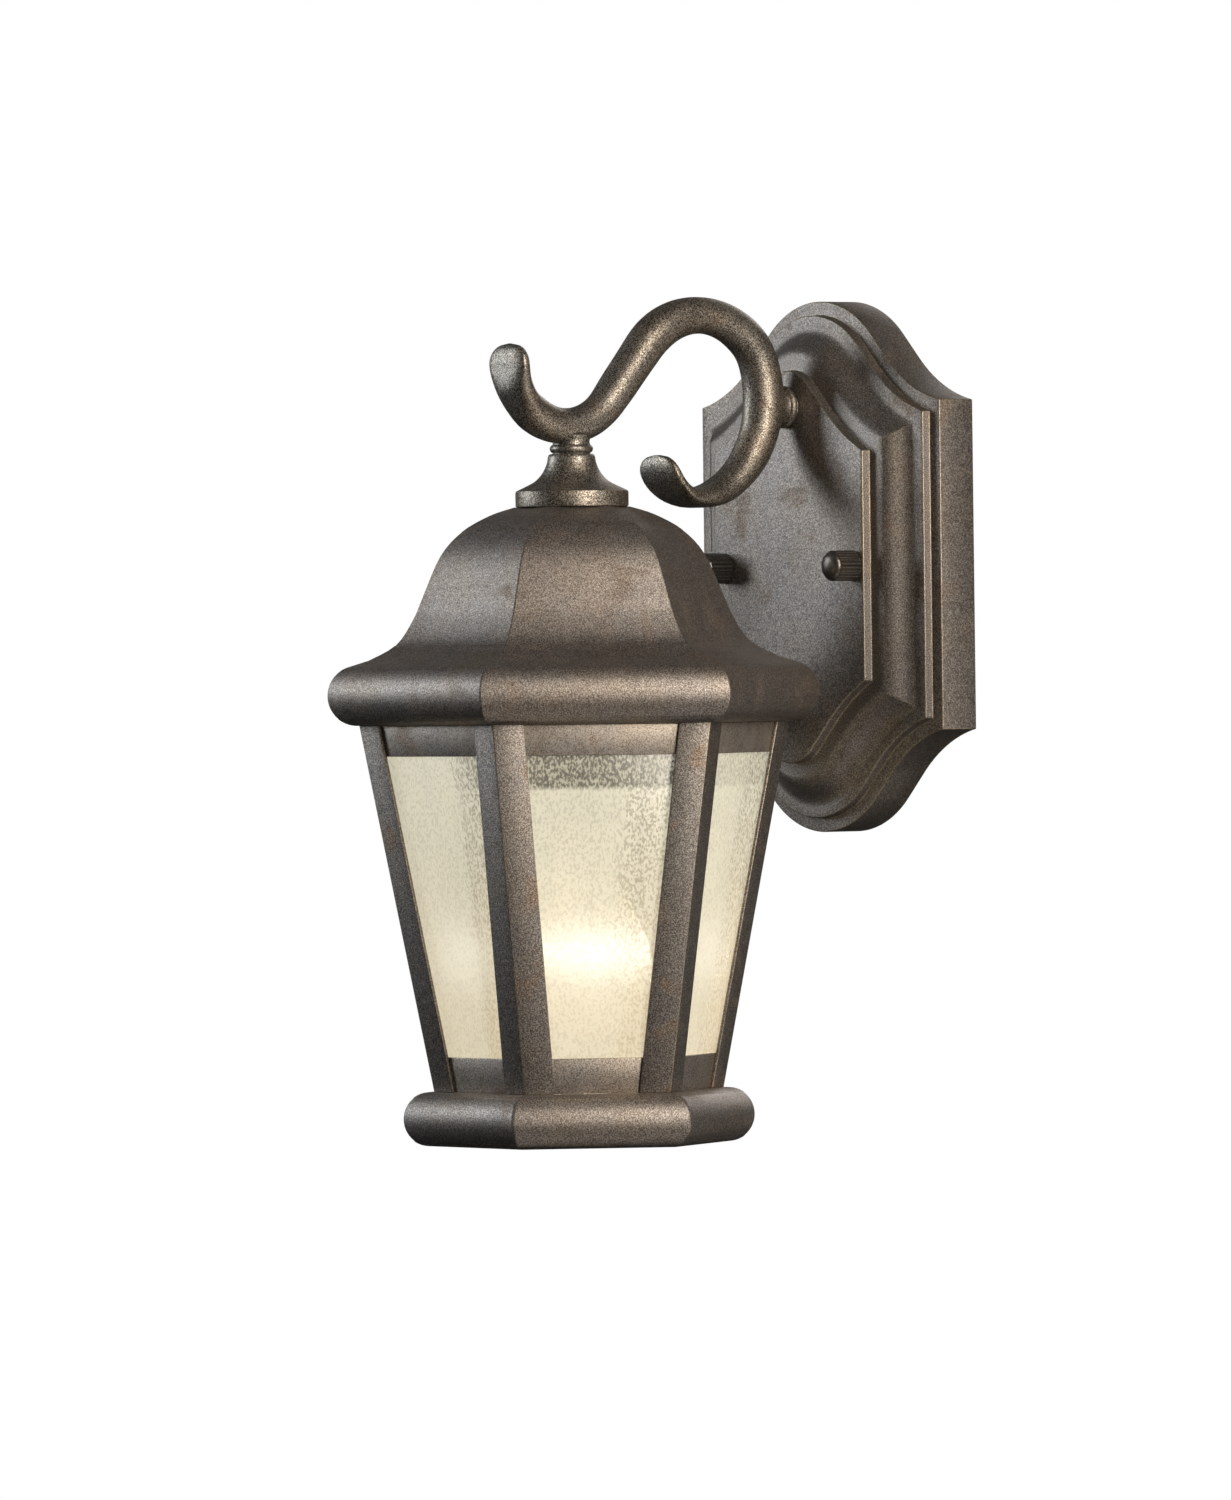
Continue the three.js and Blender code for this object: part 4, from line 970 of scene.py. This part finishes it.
def cap_nut(node):
    low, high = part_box(node)
    foot = Vector(((low.x + high.x) / 2, high.y, (low.z + high.z) / 2))
    nothing_selected()
    bpy.ops.mesh.primitive_cylinder_add(vertices=KNURL, radius=KNURL_BASE_R * MM, depth=NUT_LENGTH * MM,
                                        location=foot - Vector((0, NUT_LENGTH / 2 * MM, 0)),
                                        rotation=(math.radians(90), 0, 0))
    nut = bpy.context.object
    bpy.ops.object.transform_apply(location=True, rotation=True, scale=True)
    choose_faces(nut, lambda face: abs(face.normal.y) > 0.9 and face.center.y < foot.y - MM)
    reach, size = 0.0, 1.0
    for i in range(1, 7):
        angle = math.radians(15 * i)
        step = NUT_DOME * math.sin(angle)
        wide = max(math.cos(angle) ** 0.9, 0.08)
        bpy.ops.mesh.extrude_region_move(TRANSFORM_OT_translate={"value": (0, -(step - reach) * MM, 0)})
        bpy.ops.transform.resize(value=(wide / size, 1, wide / size), center_override=foot)
        reach, size = step, wide
    bpy.ops.object.mode_set(mode="OBJECT")
    choose_faces(nut, lambda face: abs(face.normal.y) < 0.05 and face.area > 2 * MM * MM)
    bpy.ops.mesh.inset(thickness=KNURL_INSET * MM, depth=KNURL_RISE * MM, use_individual=True)
    bpy.ops.object.mode_set(mode="OBJECT")
    return nut


for side in ("left", "right"):
    nut = cap_nut(f"cap_nut_{side}")
    finish_piece(nut, f"knurled_nut_{side}", f"cap_nut_{side}", nut_bronze, 28)
print("each nut:", len(nut.data.polygons), "faces")

# %% [markdown]
# ## Copies of the frame's flat pieces
# The cage's posts and rails are folded and cut sheet, and the frame already has their exact shape. What
# it lacks is the small round on every edge, which is what catches the light on real sheet metal. A frame
# node is never changed, so a copy is taken. Its loose triangles are merged, flat ones are joined up
# again, and a bevel rounds the edges. The foot of each bottom rail is then let down to the base, to close
# the slit that is left under it.

# %% Softened copies
def softened(node, name, material, width_mm, segments=2, smooth=35, angle=30, worn=False):
    nothing_selected()
    piece = frame["nodes"][node].copy()
    piece.data = piece.data.copy()
    piece.parent = None
    for key in list(piece.keys()):
        del piece[key]
    bpy.context.scene.collection.objects.link(piece)
    in_edit_mode(piece, merge_doubles, lambda: bpy.ops.mesh.dissolve_limited(angle_limit=math.radians(1)))
    if width_mm:
        round_edges(piece, width_mm, segments, angle, worn)
    return finish_piece(piece, name, node, material, smooth)


SEAT_CLEARANCE = 0.05 * MM


def seat_on_base(rail):
    """Lets the foot of a bottom rail down until it all but meets the base, so that no light leaks out."""
    gap = FOOT_OF_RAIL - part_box("base_ring")[1].z
    choose_faces(rail, lambda face: face.center.z < FOOT_OF_RAIL + 0.5 * MM)
    bpy.ops.transform.translate(value=(0, 0, SEAT_CLEARANCE - gap))
    bpy.ops.object.mode_set(mode="OBJECT")


for i in range(1, 7):
    softened(f"post_{i}", f"post_sheet_{i}", post_painted_shade_bronze, 0.35, worn=True)
    softened(f"top_rail_{i}", f"top_rail_sheet_{i}", top_rail_painted_light_bronze, 0.25, worn=True)
    rail = softened(f"bottom_rail_{i}", f"bottom_rail_sheet_{i}", bottom_rail_painted_light_bronze, 0.25, worn=True)
    seat_on_base(rail)
    softened(f"pane_{i}", f"glass_pane_{i}", seeded_glass, 0.4)
print("softened posts, rails and panes")

# %% [markdown]
# ## Fixings, lampholder and wires
# The pieces behind the plate and under the roof get the same treatment, in finishes of their own. Nuts
# and washers get a small round on their edges, the studs and tubes get threads in their bump, and the
# wires are only shaded smooth.

# %% Small pieces
SMALL = {
    "crossbar": (zinc, 0.3), "stud_left": (zinc_thread_out, 0.4), "stud_right": (zinc_thread_out, 0.4),
    "stud_nut_left": (zinc, 0.3), "stud_nut_right": (zinc, 0.3), "arm_nipple": (zinc_thread_out, 0.25),
    "arm_washer": (zinc, 0.2), "arm_lock_nut": (zinc, 0.4), "neck_nipple": (zinc_thread_up, 0.25),
    "cage_strap": (zinc, 0.3), "strap_washer": (zinc, 0.2), "neck_lock_nut": (zinc, 0.4),
    "ground_screw": (green_screw, 0.2), "socket_cap": (phenolic, 0.4), "socket_body": (phenolic, 0.4),
    "socket_shell": (brass, 0.1), "socket_contact": (brass, 0.1), "bulb_contact": (lamp_cap, 0.15),
    "bulb_stem": (lamp_glass, 0.0), "bulb_filament": (filament, 0.0),
    "wire_black": (black_wire, 0.0), "wire_white": (white_wire, 0.0), "ground_wire": (copper, 0.0),
}
for node, (material, width) in SMALL.items():
    softened(node, f"{node}_piece", material, width, smooth=40)
print(len(SMALL), "small pieces")

# %% [markdown]
# ## The lamp
# The lamp is a standard pear shape, cap upward. The glass is a thin shell, so its profile runs up the
# outside and back down the inside. The cap's screw thread is drawn as a row of plain round ridges, and
# not as a helix.

# %% The lamp
LAMP_CONTACT = -80.0
cap_foot = LAMP_CONTACT - 24
GLOBE_R = 30
LAMP_LENGTH = 110
globe_z = LAMP_CONTACT - LAMP_LENGTH + GLOBE_R
LAMP_GLASS = 0.7
CAP_R = 12.4
CAP_PITCH = 3.6


def lamp_side(inset, steps):
    """Half the lamp's outline, from the tip up to the cap."""
    globe = arc(0, globe_z, GLOBE_R - inset, -90, 20, steps)
    (x0, z0), (x1, z1) = globe[-1], (GLOBE_R - 7 - inset, globe_z + 28)
    (x2, z2), (x3, z3) = (13 - inset, cap_foot - 16), (CAP_R - inset, cap_foot)
    neck_line = []
    for i in range(1, steps // 2 + 1):
        t = i / (steps // 2)
        a, b, c, d = (1 - t) ** 3, 3 * t * (1 - t) ** 2, 3 * t * t * (1 - t), t ** 3
        neck_line.append((a * x0 + b * x1 + c * x2 + d * x3, a * z0 + b * z1 + c * z2 + d * z3))
    return globe + neck_line


lamp = turned([*lamp_side(0, 28), *reversed(lamp_side(LAMP_GLASS, 28))], 64)
finish_piece(lamp, "lamp_envelope", "bulb_glass", lamp_glass, 60)

ridges = []
for i in range(5):
    foot_z = cap_foot + 2.4 + CAP_PITCH * i
    ridges += arc(CAP_R, foot_z + CAP_PITCH / 2, 0.6, -80, 80, 6)
    ridges.append((12.15, foot_z + CAP_PITCH))
cap = turned([
    (CAP_R, cap_foot + 0.2),
    *ridges,
    (11.5, LAMP_CONTACT - 3.6), (6, LAMP_CONTACT - 1), (6, LAMP_CONTACT - 1.8),
    (10.6, LAMP_CONTACT - 4.4), (10.6, cap_foot + 0.2),
], 56)
finish_piece(cap, "lamp_cap", "bulb_cap", lamp_cap, 50)
print("lamp:", len(lamp.data.polygons) + len(cap.data.polygons), "faces")

# %% [markdown]
# ## The lamp's light
# A small light inside the globe does what the glowing wire does in the real lamp. It warms the inner
# faces of the cage and shines through the panes.

# %% A warm light in the lamp
bpy.ops.object.light_add(type="POINT", location=AXIS + Vector((0, 0, FILAMENT_Z)))
lamp_light = bpy.context.object
lamp_light.name = "filament_light"
lamp_light.data.energy = 0.7
lamp_light.data.color = (1.0, 0.84, 0.60)
lamp_light.data.shadow_soft_size = 0.012
print("lamp light", lamp_light.data.energy, "W")

# %% [markdown]
# ## The floor
# A wide pale floor lies well below the lantern. It is stage, and not part of the object.

# %% The floor
bpy.ops.mesh.primitive_circle_add(vertices=96, radius=2.4, fill_type="NGON", location=(0, -0.1, -0.62))
floor = bpy.context.object
floor.name = "floor"
floor_paint = bpy.data.materials.new("floor_paint")
floor_paint.use_nodes = True
floor_shader = floor_paint.node_tree.nodes["Principled BSDF"]
floor_shader.inputs["Base Color"].default_value = (0.8, 0.8, 0.8, 1)
floor_shader.inputs["Roughness"].default_value = 1.0
floor_shader.inputs["Emission Color"].default_value = (1, 1, 1, 1)
floor_shader.inputs["Emission Strength"].default_value = 0.5
floor.data.materials.append(floor_paint)
floor.visible_diffuse = False
floor.visible_glossy = False
print("floor laid")

# %% [markdown]
